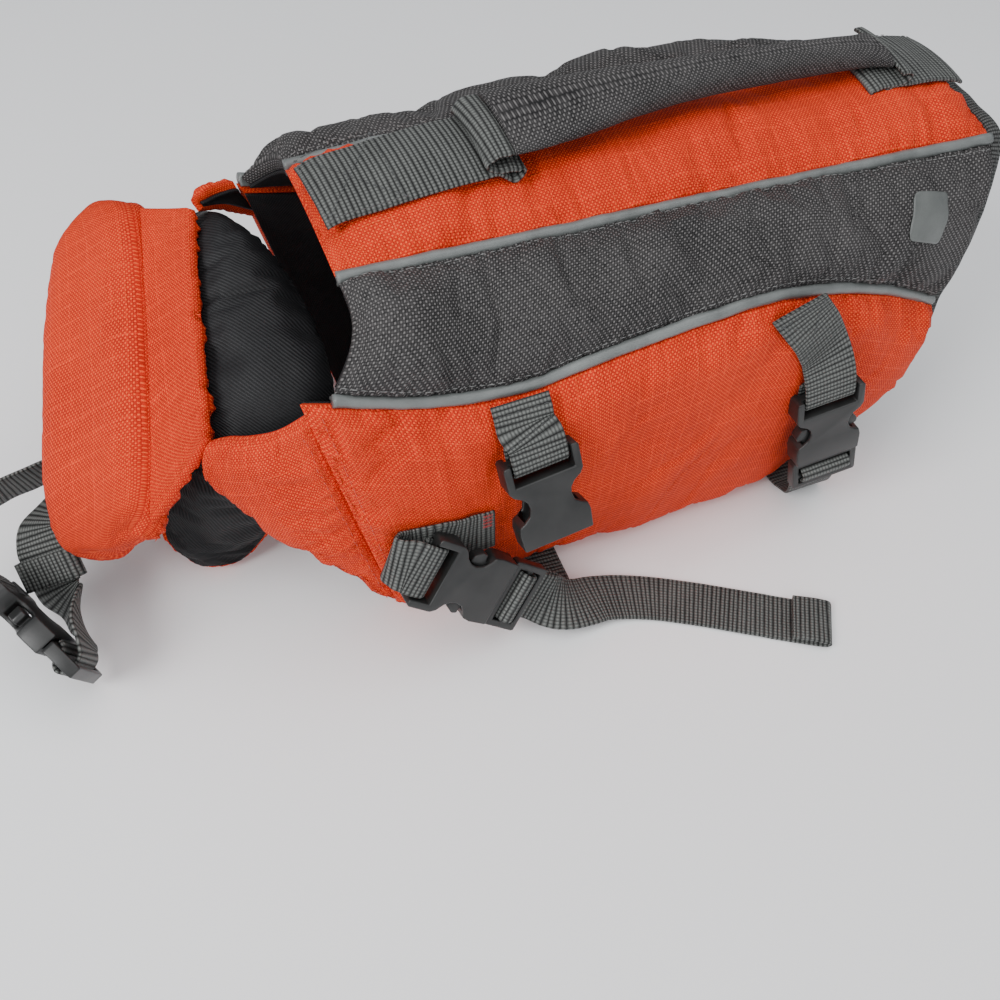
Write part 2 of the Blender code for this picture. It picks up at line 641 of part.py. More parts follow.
def grip_points():
    """Rounded sections along the grip, flat where the webbing goes in."""
    frames, sides, stations = [], 10, 13
    points, faces = [], []
    for k in range(stations + 1):
        row = smooth(GRIP, k / stations)
        for i in range(sides):
            a = 2 * math.pi * (i + 0.5) / sides
            c, s = math.cos(a), math.sin(a)
            across = math.copysign(abs(c) ** 0.6, c) * row.width / 2
            up = math.copysign(abs(s) ** 0.8, s) * row.thick / 2
            sag = CROWN_SAG * (2 * across / WEB_WIDE) ** 2 + cross_slope(row.x) * across
            points.append(Vector((row.x, row.y - across, row.z + up - sag)))
    for k in range(stations):
        for i in range(sides):
            j = (i + 1) % sides
            faces.append((k * sides + i, k * sides + j, (k + 1) * sides + j, (k + 1) * sides + i))
    last = stations * sides
    return points, faces + [tuple(range(sides)), tuple(last + i for i in reversed(range(sides)))]


solid("handle_grip", *grip_points(), CHARCOAL)

rear_rows = [handle_row(x, 7.0) for x in (250.0, 246.0, 241.0, 234.0, 225.0, 217.0)]
rear_rows += [handle_row(210.5, 7.0, 144.6), handle_row(208.2, 7.0, 146.1), handle_row(211.0, 7.0, 147.5),
              handle_row(217.0, 7.0, 147.7), handle_row(222.4, 7.0, 148.4), handle_row(224.0, 7.0, 150.2),
              handle_row(222.4, 7.0, 151.7), handle_row(219.6, 7.0, 151.7)]
ribbon("handle_webbing_rear", rear_rows, WEB_WIDE, 4)


# ---------------------------------------------------------------- reflective patches
def panel_patch(name, pocket, u, v, half_u, half_v, look):
    """Thin plate that follows the panel under it."""
    tops, bottoms = [], []
    for a in (-1.0, 0.0, 1.0):
        spots = [(u + a * half_u, v + b * half_v) for b in (-1.0, 0.0, 1.0)]
        tops.append([on_panel(pocket, *spot, 1.7)[0] for spot in spots])
        bottoms.append([on_panel(pocket, *spot, 0.9)[0] for spot in spots])
    sheet_between(name, tops, bottoms, look)


for side, where in SIDES:
    panel_patch("reflective_patch_" + where, flank[side], 0.865, 0.46, 0.034, 0.20, PATCH)


# ---------------------------------------------------------------- straps and buckles
def side_rows(cloth, pocket, stations, upright=False):
    """Rows of webbing that lies on a panel; stations are (u, v)."""
    halfway = [((u + u2) / 2, (v + v2) / 2) for (u, v), (u2, v2) in zip(stations, stations[1:])]
    stations = [spot for pair in zip(stations, halfway) for spot in pair] + [stations[-1]]
    spots = [on_panel(pocket, u, v, 0.0) for u, v in stations]
    rows = []
    for k, (place, out) in enumerate(spots):
        run = (spots[min(k + 1, len(spots) - 1)][0] - spots[max(k - 1, 0)][0]).normalized()
        across = Vector((0, 0, 1)) if upright else run.cross(out).normalized()
        rows.append(Turn(*resting(cloth, place, out, across, run, WEB / 2), *across))
    return rows


MID = Seat((48.9, -78.0, 83.0), (0.118, -0.381, -0.917), (-1.0, 0.0, -0.02))
REAR = Seat((167.0, -76.7, 71.5), (0.191, -0.119, -0.975), (-1.0, 0.08, -0.17))
BREAST = Seat((6.1, -83.9, 47.4), (0.803, -0.175, -0.569), (-0.594, -0.277, -0.754))
NECK = Seat((-130.8, -27.9, 32.4), (0.479, -0.816, -0.324), (0.102, 0.419, -0.902))
LOOSE = Seat((92.0, 139.0, 1.2), (-0.12, -0.99, 0.092), (1.0, -0.12, 0.0))    # male half behind the far side

for name, seat in (("mid", MID), ("rear", REAR), ("chest", BREAST), ("neck", NECK)):
    female(name + "_female", seat)
for name, seat in (("mid", LOOSE), ("rear", REAR), ("chest", BREAST), ("neck", NECK)):
    male(name + "_male", seat)

near, far = ("lower_panel_near", lower[-1]), ("lower_panel_far", lower[1])
ribbon("mid_tab", side_rows(*near, ((0.268, 0.035), (0.268, 0.085))) + curve(wrapped(MID, OVER_BAR)))
ribbon("rear_tab", side_rows(*near, ((0.672, 0.03), (0.703, 0.10), (0.728, 0.165)))
       + curve(wrapped(REAR, OVER_BAR)))

# the chest tab lies along the panel, turns over at its front end and comes back to the buckle
level = side_rows(*near, ((0.199, 0.53), (0.165, 0.535), (0.13, 0.535), (0.10, 0.53)), True)
turn_over = [Turn(3.0, -76.8, 49.6, 0.05, 0.0, 1.0), Turn(-2.0, -78.0, 51.3, 0.3, 0.0, 0.95),
             Turn(-3.4, -80.8, 52.2, 0.32, 0.0, 0.95), Turn(-1.6, -83.7, 52.2, 0.4, 0.15, 0.9)]
ribbon("chest_tab", level + curve(turn_over + wrapped(BREAST, OVER_BAR[:-1], -1.0)))

# chest strap: far side, under the hem, slider, and its free tail with the end folded over
under = [Turn(62.5, 75.5, 6.5, 1.0, 0.0, 0.0), Turn(62.2, 71.0, 1.9, 1.0, 0.0, 0.0),
         Turn(61.5, 62.0, 1.0, 1.0, 0.0, 0.0), Turn(61.0, 0.0, 1.0, 1.0, 0.0, 0.0),
         Turn(60.0, -60.0, 1.0, 1.0, 0.0, 0.0), Turn(59.5, -70.0, 1.0, 1.0, 0.0, 0.0),
         Turn(58.8, -76.5, 2.2, 0.98, -0.15, 0.03), Turn(55.5, -81.5, 6.4, 0.9, -0.1, 0.34)]
tail = wrapped(BREAST, ((54.5, -3.7),), -1.0)
tail += [Turn(*seat_point(BREAST, 0.0, 60.0, -3.2), 0.5, 0.5, 0.6), Turn(60.0, -93.0, 9.8, 0.35, 0.85, 0.3),
         Turn(66.5, -93.0, 7.4, 0.3, 0.95, 0.1), Turn(74.0, -92.3, 5.0, 0.36, 0.93, 0.0),
         Turn(83.0, -93.4, 2.8, 0.45, 0.89, 0.0), Turn(94.0, -97.0, 1.3, 0.5, 0.86, 0.0)]
tail_end = [Turn(107.0, -104.0, 1.0, 0.55, 0.84, 0.0), Turn(130.0, -118.5, 1.0, 0.55, 0.84, 0.0),
            Turn(151.6, -132.0, 1.0, 0.55, 0.84, 0.0), Turn(153.1, -132.9, 1.4, 0.55, 0.84, 0.0),
            Turn(153.7, -133.3, 2.2, 0.55, 0.84, 0.0), Turn(153.1, -132.9, 3.0, 0.55, 0.84, 0.0),
            Turn(151.6, -132.0, 3.4, 0.55, 0.84, 0.0), Turn(141.6, -125.7, 3.2, 0.55, 0.84, 0.0)]
ribbon("chest_strap", side_rows(*far, ((0.19, 0.50), (0.22, 0.62), (0.25, 0.74), (0.28, 0.86)))
       + under[:5] + curve(under[5:] + wrapped(BREAST, SLIDER_IN + SLIDER_OUT, -1.0) + tail) + tail_end)

# belly strap: far side, under the hem at the tail, slider and a short end
under = [Turn(183.5, 82.5, 9.5, 1.0, 0.0, 0.0), Turn(183.0, 76.5, 3.4, 1.0, 0.0, 0.0),
         Turn(182.5, 70.0, 1.0, 1.0, 0.0, 0.0), Turn(182.5, 0.0, 1.0, 1.0, 0.0, 0.0),
         Turn(182.5, -56.0, 1.0, 1.0, 0.0, 0.0), Turn(182.5, -62.0, 1.0, 1.0, 0.0, 0.0),
         Turn(182.5, -69.0, 3.4, 1.0, 0.0, 0.0)]
ribbon("belly_strap", side_rows(*far, ((0.677, 0.03), (0.715, 0.15), (0.755, 0.30), (0.80, 0.47),
                                       (0.85, 0.64), (0.885, 0.76), (0.90, 0.84)))
       + under[:5] + curve(under[5:] + wrapped(REAR, SLIDER_IN + SLIDER_OUT + ((53.0, -4.2),), -1.0)))

# middle strap: sewn under the far piping, hangs down outside and ends in the loose male half
ribbon("mid_strap", side_rows(*far, ((0.242, 0.03), (0.275, 0.15), (0.315, 0.30), (0.35, 0.47),
                                     (0.378, 0.64), (0.40, 0.78)))
       + curve([Turn(83.5, 85.0, 13.5, 1.0, 0.0, 0.0)] + wrapped(LOOSE, SLIDER_IN[1:] + SLIDER_OUT)))

# neck strap: both ends are sewn under the float's hinge; one goes to the slider, one to the webbing bar
near_end = [Turn(-72.0, 0.0, 55.0, 0.2, 0.9, 0.38), Turn(-86.0, -1.0, 46.5, 0.1, 0.9, 0.1),
            Turn(-98.0, -3.0, 40.5, 0.0, 0.9, -0.2), Turn(-107.5, -6.5, 38.8, -0.3, 0.75, -0.45),
            Turn(-112.5, -11.5, 37.0, -0.7, 0.5, -0.45), Turn(-113.6, -17.9, 33.5, -0.85, 0.3, -0.42),
            Turn(-112.5, -24.0, 27.0, -0.85, 0.3, -0.42), Turn(-111.4, -30.1, 20.5, -0.83, 0.32, -0.45),
            Turn(*seat_point(NECK, 12.5, 20.5, -12.5), -0.6, 0.4, -0.65),
            Turn(*seat_point(NECK, 7.0, 27.5, -11.5), -0.2, 0.45, -0.87),
            Turn(*seat_point(NECK, 2.0, 34.0, -9.2), 0.1, 0.42, -0.9)]
SLIDER_SLACK = ((39.5, -6.8), (42.6, -4.6), (43.6, -1.6), (43.4, 2.2), (40.7, 4.0), (38.0, 2.2),
                (37.8, -0.8), (36.6, -2.9), (34.4, -3.4))
ribbon("neck_strap_near", curve(near_end + wrapped(NECK, SLIDER_SLACK)))
far_end = [Turn(-68.0, 24.0, 62.0, 0.2, 0.9, 0.38), Turn(-83.0, 22.0, 51.0, 0.15, 0.9, 0.0),
           Turn(-96.0, 18.0, 41.5, 0.1, 0.7, -0.6), Turn(-110.0, 14.0, 36.5, 0.1, 0.42, -0.9),
           Turn(-124.0, 12.0, 34.5, 0.1, 0.42, -0.9), Turn(-134.0, 7.0, 33.6, 0.1, 0.42, -0.9),
           Turn(-138.0, -2.0, 33.2, 0.1, 0.42, -0.9), Turn(-137.5, -11.0, 33.4, 0.1, 0.42, -0.9),
           Turn(-135.8, -19.0, 33.8, 0.1, 0.42, -0.9)]
ribbon("neck_strap_far", curve(far_end + wrapped(NECK, OVER_BAR)))


def keeper(name, turns, length, inner_w, inner_t):
    """Sleeve of webbing round the strap, sewn into a ring."""
    before, row, after = turns
    along = (Vector(after[:3]) - Vector(before[:3])).normalized()
    across = Vector(row[3:6])
    across = (across - along * across.dot(along)).normalized()
    up = across.cross(along)
    middle = Vector(row[:3])
    loop_at = []
    corner = inner_t / 2 + 0.7
    for sx in (1, -1):
        for a in (-90, -30, 30, 90):
            c, s = math.cos(math.radians(a)) * sx, math.sin(math.radians(a)) * sx
            loop_at.append((across * (sx * (inner_w / 2 - corner + 0.7) + corner * c) + up * (corner * s),
                            across * c + up * s))
    frames = [(middle + spot, along, out) for spot, out in loop_at]
    half_l, half_t = length / 2, 0.7
    section = [(-half_l, -half_t), (half_l, -half_t), (half_l, half_t), (-half_l, half_t)]
    sweep(name, frames, [section] * len(frames), WEBBING, closed=True)


keeper("neck_keeper", near_end[5:8], 11.0, 22.4, 3.8)
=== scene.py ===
import math
from collections import namedtuple

import bmesh
import bpy
import numpy as np
from mathutils import Matrix, Vector, noise
from mathutils.bvhtree import BVHTree


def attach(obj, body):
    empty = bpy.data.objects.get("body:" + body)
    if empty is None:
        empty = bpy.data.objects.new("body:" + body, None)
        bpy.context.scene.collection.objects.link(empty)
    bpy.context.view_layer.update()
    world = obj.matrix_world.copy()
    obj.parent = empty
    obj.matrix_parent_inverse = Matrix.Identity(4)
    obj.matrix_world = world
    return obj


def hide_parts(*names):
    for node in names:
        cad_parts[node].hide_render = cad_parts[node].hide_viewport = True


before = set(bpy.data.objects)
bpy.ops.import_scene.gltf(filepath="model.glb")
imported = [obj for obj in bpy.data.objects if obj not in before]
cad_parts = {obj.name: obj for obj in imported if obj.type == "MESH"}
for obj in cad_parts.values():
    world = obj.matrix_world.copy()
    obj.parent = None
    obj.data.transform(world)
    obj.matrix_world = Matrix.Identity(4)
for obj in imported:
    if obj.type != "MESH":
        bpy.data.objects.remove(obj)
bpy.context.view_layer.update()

# Sizes are in millimetres from the neck edge of the back: x to the tail, y to the far side, z up.
MM = 0.001
SHIFT = Vector((-58.6, 8.35, 0.0))   # from the neck edge of the back to the middle of the whole footprint

GAP = 0.3             # between two sewn pieces
EDGE = 3.6            # thickness of a panel where it is sewn
LINING = 1.1          # thickness of the twill lining
PIPE_R = 2.1          # radius of the reflective piping
WEB = 20.0            # narrow webbing
WEB_WIDE = 32.0       # handle webbing
WEB_T = 1.4           # thickness of webbing
THREAD = 0.34         # thickness of a sewing thread


def placed(point):
    return (Vector(point) + SHIFT) * MM


# ---------------------------------------------------------------- camera, lights and table
VIEW_FROM = Vector((-54.5, -274.4, 322.0))
# the camera's right, down and forward shares of the x axis and of the y axis
AXIS_X, AXIS_Y = Vector((0.9243, -0.2685, 0.271)), Vector((-0.3796, -0.719, 0.582))
AXIS_Z = AXIS_X.cross(AXIS_Y)


def aim_camera():
    right = Vector((AXIS_X.x, AXIS_Y.x, AXIS_Z.x)).normalized()
    ahead = Vector((AXIS_X.z, AXIS_Y.z, AXIS_Z.z)).normalized()
    up = right.cross(ahead).normalized()
    lens = bpy.data.cameras.new("studio_camera")
    lens.lens, lens.sensor_width = 36.0, 36.0
    lens.clip_start, lens.clip_end = 0.01, 20.0
    holder = bpy.data.objects.new("studio_camera", lens)
    turned = Matrix((right, up, -ahead)).transposed().to_4x4()
    holder.matrix_world = Matrix.Translation(placed(VIEW_FROM)) @ turned
    bpy.context.scene.collection.objects.link(holder)
    bpy.context.scene.camera = holder


def soft_box(name, where, towards, width, height, power):
    """Lamp of width by height, in metres, at where and turned to towards."""
    lamp = bpy.data.lights.new(name, "AREA")
    lamp.shape, lamp.size, lamp.size_y = "RECTANGLE", width, height
    lamp.energy = power
    holder = bpy.data.objects.new(name, lamp)
    holder.location = where
    holder.rotation_euler = (Vector(towards) - Vector(where)).to_track_quat("-Z", "Y").to_euler()
    bpy.context.scene.collection.objects.link(holder)


aim_camera()
soft_box("window_left", (-0.95, -0.35, 0.85), (0.0, 0.0, 0.05), 0.6, 0.6, 12.0)
soft_box("ceiling", (0.15, -0.1, 1.35), (0.0, 0.0, 0.0), 1.4, 1.4, 10.8)
soft_box("front_fill", (0.1, -1.3, 0.75), (0.0, 0.0, 0.05), 1.2, 0.9, 6.0)
room = bpy.data.worlds.new("room")
room.use_nodes = True
room.node_tree.nodes["Background"].inputs["Color"].default_value = (0.92, 0.95, 1.0, 1.0)
room.node_tree.nodes["Background"].inputs["Strength"].default_value = 0.42
bpy.context.scene.world = room


# ---------------------------------------------------------------- shader maths
class Amount:
    """A shader socket that takes part in sums; each operation adds its node."""

    def __init__(self, look, socket):
        self.look, self.socket = look, socket

    def math(self, operation, *values):
        return self.look.node("ShaderNodeMath", {"operation": operation}, dict(enumerate(values)))

    def __add__(self, other): return self.math("ADD", self, other)
    def __radd__(self, other): return self.math("ADD", other, self)
    def __sub__(self, other): return self.math("SUBTRACT", self, other)
    def __rsub__(self, other): return self.math("SUBTRACT", other, self)
    def __mul__(self, other): return self.math("MULTIPLY", self, other)
    def __pow__(self, other): return self.math("POWER", self, other)
    def __abs__(self): return self.math("ABSOLUTE", self)
    def sin(self): return self.math("SINE", self)
    def fract(self): return self.math("FRACT", self)
    def max(self, other): return self.math("MAXIMUM", self, other)
    def min(self, other): return self.math("MINIMUM", self, other)
    def clamp(self): return self.max(0.0).min(1.0)


class Look:
    """A material of one Principled shader and the nodes that feed it."""

    def __init__(self, name, roughness, **fixed):
        self.material = bpy.data.materials.new(name)
        self.material.use_nodes = True
        self.tree = self.material.node_tree
        self.shader = self.tree.nodes["Principled BSDF"]
        self.shader.inputs["Roughness"].default_value = roughness
        for socket, value in fixed.items():
            self.shader.inputs[socket.replace("_", " ")].default_value = value

    def node(self, kind, settings=None, values=None, out=0):
        made = self.tree.nodes.new(kind)
        for key, value in (settings or {}).items():
            if key == "stops":
                ramp = made.color_ramp
                for place, _ in value[2:]:
                    ramp.elements.new(place)
                for element, (place, colour) in zip(ramp.elements, sorted(value)):
                    element.position, element.color = place, (*colour, 1.0)
            else:
                setattr(made, key, value)
        for key, value in (values or {}).items():
            socket = made.inputs[key]
            if isinstance(value, Amount):
                self.tree.links.new(value.socket, socket)
            elif isinstance(value, tuple) and len(value) == 3 and socket.type == "RGBA":
                socket.default_value = (*value, 1.0)
            else:
                socket.default_value = value
        return Amount(self, made.outputs[out])

    def map(self):
        """The piece's own cloth coordinates, in metres along and across the cloth."""
        return self.node("ShaderNodeUVMap", {"uv_map": "cloth"})

    def space(self):
        """The piece's own Object coordinates, in metres."""
        return self.node("ShaderNodeTexCoord", out=3)

    def axes(self, vector):
        return [self.node("ShaderNodeSeparateXYZ", {}, {0: vector}, out=k) for k in range(2)]

    def noise(self, vector, scale, detail=2.0, roughness=0.5):
        return self.node("ShaderNodeTexNoise", {}, {"Vector": vector, "Scale": scale, "Detail": detail,
                                                    "Roughness": roughness})

    def streaks(self, vector, per_metre, across, detail=3.0, roughness=0.6):
        """Noise drawn out along the cloth or across it."""
        drawn = self.node("ShaderNodeVectorMath", {"operation": "MULTIPLY"},
                          {0: vector, 1: (per_metre, across, 1.0)})
        return self.noise(drawn, 1.0, detail, roughness)

    def mix(self, amount, dark, light):
        made = self.tree.nodes.new("ShaderNodeMix")
        made.data_type = "RGBA"
        for socket, value in ((made.inputs[0], amount), (made.inputs[6], dark), (made.inputs[7], light)):
            if isinstance(value, Amount):
                self.tree.links.new(value.socket, socket)
            elif isinstance(value, tuple):
                socket.default_value = (*value, 1.0)
            else:
                socket.default_value = value
        return Amount(self, made.outputs[2])

    def colour(self, value):
        self.tree.links.new(value.socket, self.shader.inputs["Base Color"])

    def rough(self, value):
        self.tree.links.new(value.socket, self.shader.inputs["Roughness"])

    def bump(self, height, distance, strength):
        made = self.node("ShaderNodeBump", {}, {"Height": height, "Distance": distance, "Strength": strength})
        self.tree.links.new(made.socket, self.shader.inputs["Normal"])


def plain_weave(along, across, pitch):
    """Height 0..1 of an over-and-under weave, low in the holes between the threads; where it feeds a colour
    it paints shade into the holes and highlights on the threads.
    """
    a, b = along * (math.pi / pitch), across * (math.pi / pitch)
    over = ((a.sin() * b.sin()) * 3.0).max(-1.0).min(1.0) * 0.5 + 0.5
    floats = (abs(a.sin()) * abs(b.sin())) ** 0.55
    return floats * (over * 0.72 + 0.28)


RIP = 0.0052          # between two heavier threads, in metres


def grid_line(across, along_sway):
    """0..1 where the heavier threads of a ripstop lie, RIP apart."""
    place = ((across + along_sway * 0.0012) * (1 / RIP)).fract()
    return ((abs(place - 0.5) * -2.0 + 1.0) * 5.5 - 4.7).clamp()


def ripstop(name, dark, mid, light):
    """Light plain weave with a heavier thread every few millimetres both ways."""
    look = Look(name, 0.72, Specular_IOR_Level=0.2)
    cloth = look.map()
    along, across = look.axes(cloth)
    uneven = look.noise(cloth, 260.0) - 0.5
    height = plain_weave(along + uneven * 0.00016, across + uneven * 0.00016, 0.00070)
    slub_a = (look.streaks(cloth, 110.0, 1500.0) * 4.2 - 1.75).clamp()
    slub_b = (look.streaks(cloth, 1500.0, 90.0) * 4.2 - 1.75).clamp()
    sway = look.noise(cloth, 60.0) - 0.5
    broken_a = (look.streaks(cloth, 120.0, 420.0, 2.0, 0.5) * 3.6 - 1.2).clamp()
    broken_b = (look.streaks(cloth, 420.0, 120.0, 2.0, 0.5) * 3.6 - 1.2).clamp()
    rip = grid_line(across, sway) * broken_a + grid_line(along, sway) * broken_b
    wear = look.noise(look.space(), 24.0, 4.0) - 0.5
    grain = look.noise(cloth, 2600.0, 2.0, 0.6) - 0.5
    # tone: the weave's height paints shade into the holes and highlights on the threads; slubs, the heavier
    # rip threads, wear and grain are the cloth's own tone
    tone = (height * 0.95 + slub_b * 0.10 + slub_a * 0.06 + rip * 0.30 + wear * 0.3 + grain * 0.3).clamp()
    stops = [(0.0, dark), (1.0, light), (0.42, mid)]
    look.colour(look.node("ShaderNodeValToRGB", {"stops": stops}, {0: tone}))
    look.bump(height * 0.6 + rip * 0.9 + slub_b * 0.6 + slub_a * 0.4, 0.00030, 1.0)
    look.rough(0.74 - rip * 0.14 + wear * 0.1)
    return look.material


def coarse_cloth(name, dark, light):
    """Heavy plain weave of round yarns, with shade painted into the holes between them and highlights on the
    yarns.
    """
    look = Look(name, 0.7, Specular_IOR_Level=0.3)
    cloth = look.map()
    along, across = look.axes(cloth)
    uneven = look.noise(cloth, 300.0) - 0.5
    height = plain_weave(along + uneven * 0.00030, across + uneven * 0.00030, 0.00088)
    yarn = look.streaks(cloth, 240.0, 1500.0) - 0.5
    yarn_b = look.streaks(cloth, 1500.0, 240.0) - 0.5
    wear = look.noise(look.space(), 30.0, 4.0) - 0.5
    # tone: the weave's height paints shade into the holes and highlights on the yarns; the yarn streaks and
    # wear are the cloth's own tone
    tone = (height ** 1.1 * 1.0 + yarn * 0.5 + yarn_b * 0.5 + wear * 0.35).clamp()
    look.colour(look.mix(tone, dark, light))
    look.bump(height + yarn * 0.5, 0.00042, 1.0)
    look.rough(0.78 - height * 0.2)
    return look.material


def twill(name, dark, light):
    """Lining with fine slanted ribs, painted lighter on their crests as a sheen and darker between them."""
    look = Look(name, 0.6, Specular_IOR_Level=0.25)
    cloth = look.map()
    along, across = look.axes(cloth)
    rib = ((along + across * 0.8) * (2 * math.pi / 0.0011)).sin() * 0.5 + 0.5
    yarn = look.streaks(cloth, 1500.0, 500.0)
    # tone: the ribs' crests carry a painted sheen and their furrows painted shade; the yarn streaks are the
    # cloth's own tone
    tone = (rib * 0.6 + yarn * 0.7 - 0.15).clamp()
    look.colour(look.mix(tone, dark, light))
    look.bump(rib + yarn * 0.4, 0.00016, 0.8)
    look.rough(0.64 - rib * 0.14)
    return look.material


def webbing(name, dark, light, rib=0.0017, cord=0.0013):
    """Ribs across the webbing in pairs, with grooves darkened by painted shade, each a row of short tied-down
    cords.
    """
    look = Look(name, 0.6, Specular_IOR_Level=0.35)
    cloth = look.map()
    along, across = look.axes(cloth)
    uneven = look.noise(cloth, 420.0) - 0.5
    ribs = abs(((along + uneven * 0.00025) * (math.pi / rib)).sin())
    cords = abs(((across + uneven * 0.0002) * (math.pi / cord)).sin())
    pair = abs(((along + uneven * 0.00025) * (math.pi / (2 * rib))).sin())
    height = ribs ** 0.8 * (cords * 0.5 + 0.5) * (pair * 0.45 + 0.55)
    fibre = look.streaks(cloth, 700.0, 3200.0) - 0.5
    wear = look.noise(look.space(), 70.0, 4.0) - 0.5
    # tone: the relief paints shade into the grooves and between the cords, and highlights on the ribs; fibre
    # and wear are the webbing's own tone
    tone = (height ** 1.3 * 1.15 + fibre * 0.6 + wear * 0.3).clamp()
    look.colour(look.mix(tone, dark, light))
    look.bump(height + fibre * 0.3, 0.00055, 1.0)
    look.rough(0.72 - height * 0.2)
    return look.material


def reflective(name, dark, light):
    """Glass-bead film over cloth: fine bright grain, a few creases."""
    look = Look(name, 0.4, Specular_IOR_Level=0.6)
    space = look.space()
    beads = look.node("ShaderNodeTexVoronoi", {}, {"Vector": space, "Scale": 3600.0})
    grime = look.noise(space, 90.0, 4.0)
    crease = look.noise(space, 320.0, 3.0)
    look.colour(look.mix((grime * 1.3 - 0.2 + (beads - 0.5) * 0.2).clamp(), dark, light))
    look.bump(beads * 0.3 + crease, 0.00022, 0.7)
    look.rough(0.36 + (grime - 0.5) * 0.25)
    return look.material


def moulded(name, dark, light):
    look = Look(name, 0.42, Specular_IOR_Level=0.5)
    space = look.space()
    grain = look.noise(space, 2600.0)
    scuff = look.noise(space, 120.0, 4.0)
    look.colour(look.mix((scuff * 1.4 - 0.2).clamp(), dark, light))
    look.bump(grain * 0.35 + scuff, 0.00007, 0.6)
    look.rough(0.4 + (scuff - 0.5) * 0.22 + (grain - 0.5) * 0.1)
    return look.material


def thread(name, dark, light):
    look = Look(name, 0.55, Sheen_Weight=0.2)
    space = look.space()
    look.colour(look.mix(look.noise(space, 900.0), dark, light))
    look.bump(look.noise(space, 4000.0), 0.00008, 0.8)
    return look.material


def painted_table(name):
    look = Look(name, 0.5, Specular_IOR_Level=0.3)
    space = look.space()
    broad = look.noise(space, 3.0)
    look.colour(look.mix(broad, (0.93, 0.935, 0.945), (0.96, 0.96, 0.965)))
    look.bump(look.noise(space, 240.0, 3.0), 0.0001, 0.3)
    return look.material


# for the woven cloths and webbings, the dark end carries painted shade in the weave's hollows and the light
# end painted highlights on its threads
ORANGE = ripstop("orange_ripstop", (0.26, 0.007, 0.0015), (0.78, 0.032, 0.0055), (1.0, 0.145, 0.038))
CHARCOAL = coarse_cloth("charcoal_600d", (0.004, 0.004, 0.0045), (0.172, 0.163, 0.161))
TWILL = twill("black_twill", (0.002, 0.002, 0.0025), (0.022, 0.022, 0.024))
WEBBING = webbing("grey_webbing", (0.003, 0.0035, 0.0035), (0.165, 0.172, 0.163))
TAPE = webbing("binding_tape", (0.003, 0.0035, 0.0035), (0.11, 0.114, 0.11), 0.0013, 0.0009)
PIPING = reflective("reflective_piping", (0.085, 0.092, 0.09), (0.20, 0.215, 0.21))
PATCH = reflective("reflective_patch", (0.075, 0.081, 0.078), (0.14, 0.15, 0.143))
PLASTIC = moulded("buckle_plastic", (0.007, 0.0075, 0.0075), (0.024, 0.0245, 0.024))
ORANGE_THREAD = thread("orange_thread", (0.40, 0.022, 0.006), (0.80, 0.07, 0.02))
GREY_THREAD = thread("grey_thread", (0.10, 0.10, 0.10), (0.24, 0.24, 0.235))
DARK_THREAD = thread("dark_thread", (0.02, 0.021, 0.022), (0.07, 0.074, 0.075))
RED_THREAD = thread("red_thread", (0.30, 0.01, 0.01), (0.55, 0.03, 0.03))


# ---------------------------------------------------------------- finished pieces
facets = {}           # the facets of each piece, for the webbing and the stitches that lie on it


def finish_piece(made, look, *nodes):
    """The piece rides on the jacket and stands for its solids."""
    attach(made, "root")
    if nodes:
        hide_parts(*nodes)
    return made


def linked(name, mesh):
    made = bpy.data.objects.new(name, mesh)
    bpy.context.scene.collection.objects.link(made)
    return made


def piece(name, points, faces, maps, look, nodes):
    """Closed piece; maps gives (along, across) in mm for each corner of each face."""
    points = [Vector((p[0], p[1], max(p[2], 0.0))) for p in points]     # nothing sinks into the table
    facets[name] = BVHTree.FromPolygons(points, faces)
    mesh = bpy.data.meshes.new(name)
    mesh.from_pydata([placed(p) for p in points], [], faces)
    cloth = mesh.uv_layers.new(name="cloth")
    flat = [c * MM for corners in maps for corner in corners for c in corner]
    cloth.data.foreach_set("uv", flat)
    shape = bmesh.new()
    shape.from_mesh(mesh)
    bmesh.ops.recalc_face_normals(shape, faces=shape.faces)
    if shape.calc_volume(signed=True) < 0.0:
        bmesh.ops.reverse_faces(shape, faces=shape.faces)
    shape.to_mesh(mesh)
    shape.free()
    mesh.polygons.foreach_set("use_smooth", [True] * len(mesh.polygons))
    mesh.materials.append(look)
    return finish_piece(linked(name, mesh), look, *nodes)


def sheet_between(name, top, bottom, spots, look, nodes):
    """Closed wall between two matching grids of points; spots are the cloth coordinates of the grid."""
    rows, cols = len(top), len(top[0])
    points = [p for row in top for p in row] + [p for row in bottom for p in row]
    half = rows * cols

    def at(r, c, side=0):
        return side * half + r * cols + c

    faces, maps = [], []
    for r in range(rows - 1):
        for c in range(cols - 1):
            corners = ((r, c), (r, c + 1), (r + 1, c + 1), (r + 1, c))
            faces.append(tuple(at(*k) for k in corners))
            maps.append([spots[k[0]][k[1]] for k in corners])
            back_corners = (corners[0], corners[3], corners[2], corners[1])
            faces.append(tuple(at(*k, 1) for k in back_corners))
            maps.append([spots[k[0]][k[1]] for k in back_corners])
    rim = ([(0, c) for c in range(cols)] + [(r, cols - 1) for r in range(1, rows)]
           + [(rows - 1, c) for c in range(cols - 2, -1, -1)] + [(r, 0) for r in range(rows - 2, 0, -1)])
    run = 0.0
    for (r, c), (r2, c2) in zip(rim, rim[1:] + rim[:1]):
        step = (Vector(top[r2][c2]) - Vector(top[r][c])).length
        deep = (Vector(bottom[r][c]) - Vector(top[r][c])).length
        faces.append((at(r, c), at(r2, c2), at(r2, c2, 1), at(r, c, 1)))
        maps.append([(run, 0.0), (run + step, 0.0), (run + step, deep), (run, deep)])
        run += step
    return piece(name, points, faces, maps, look, nodes)


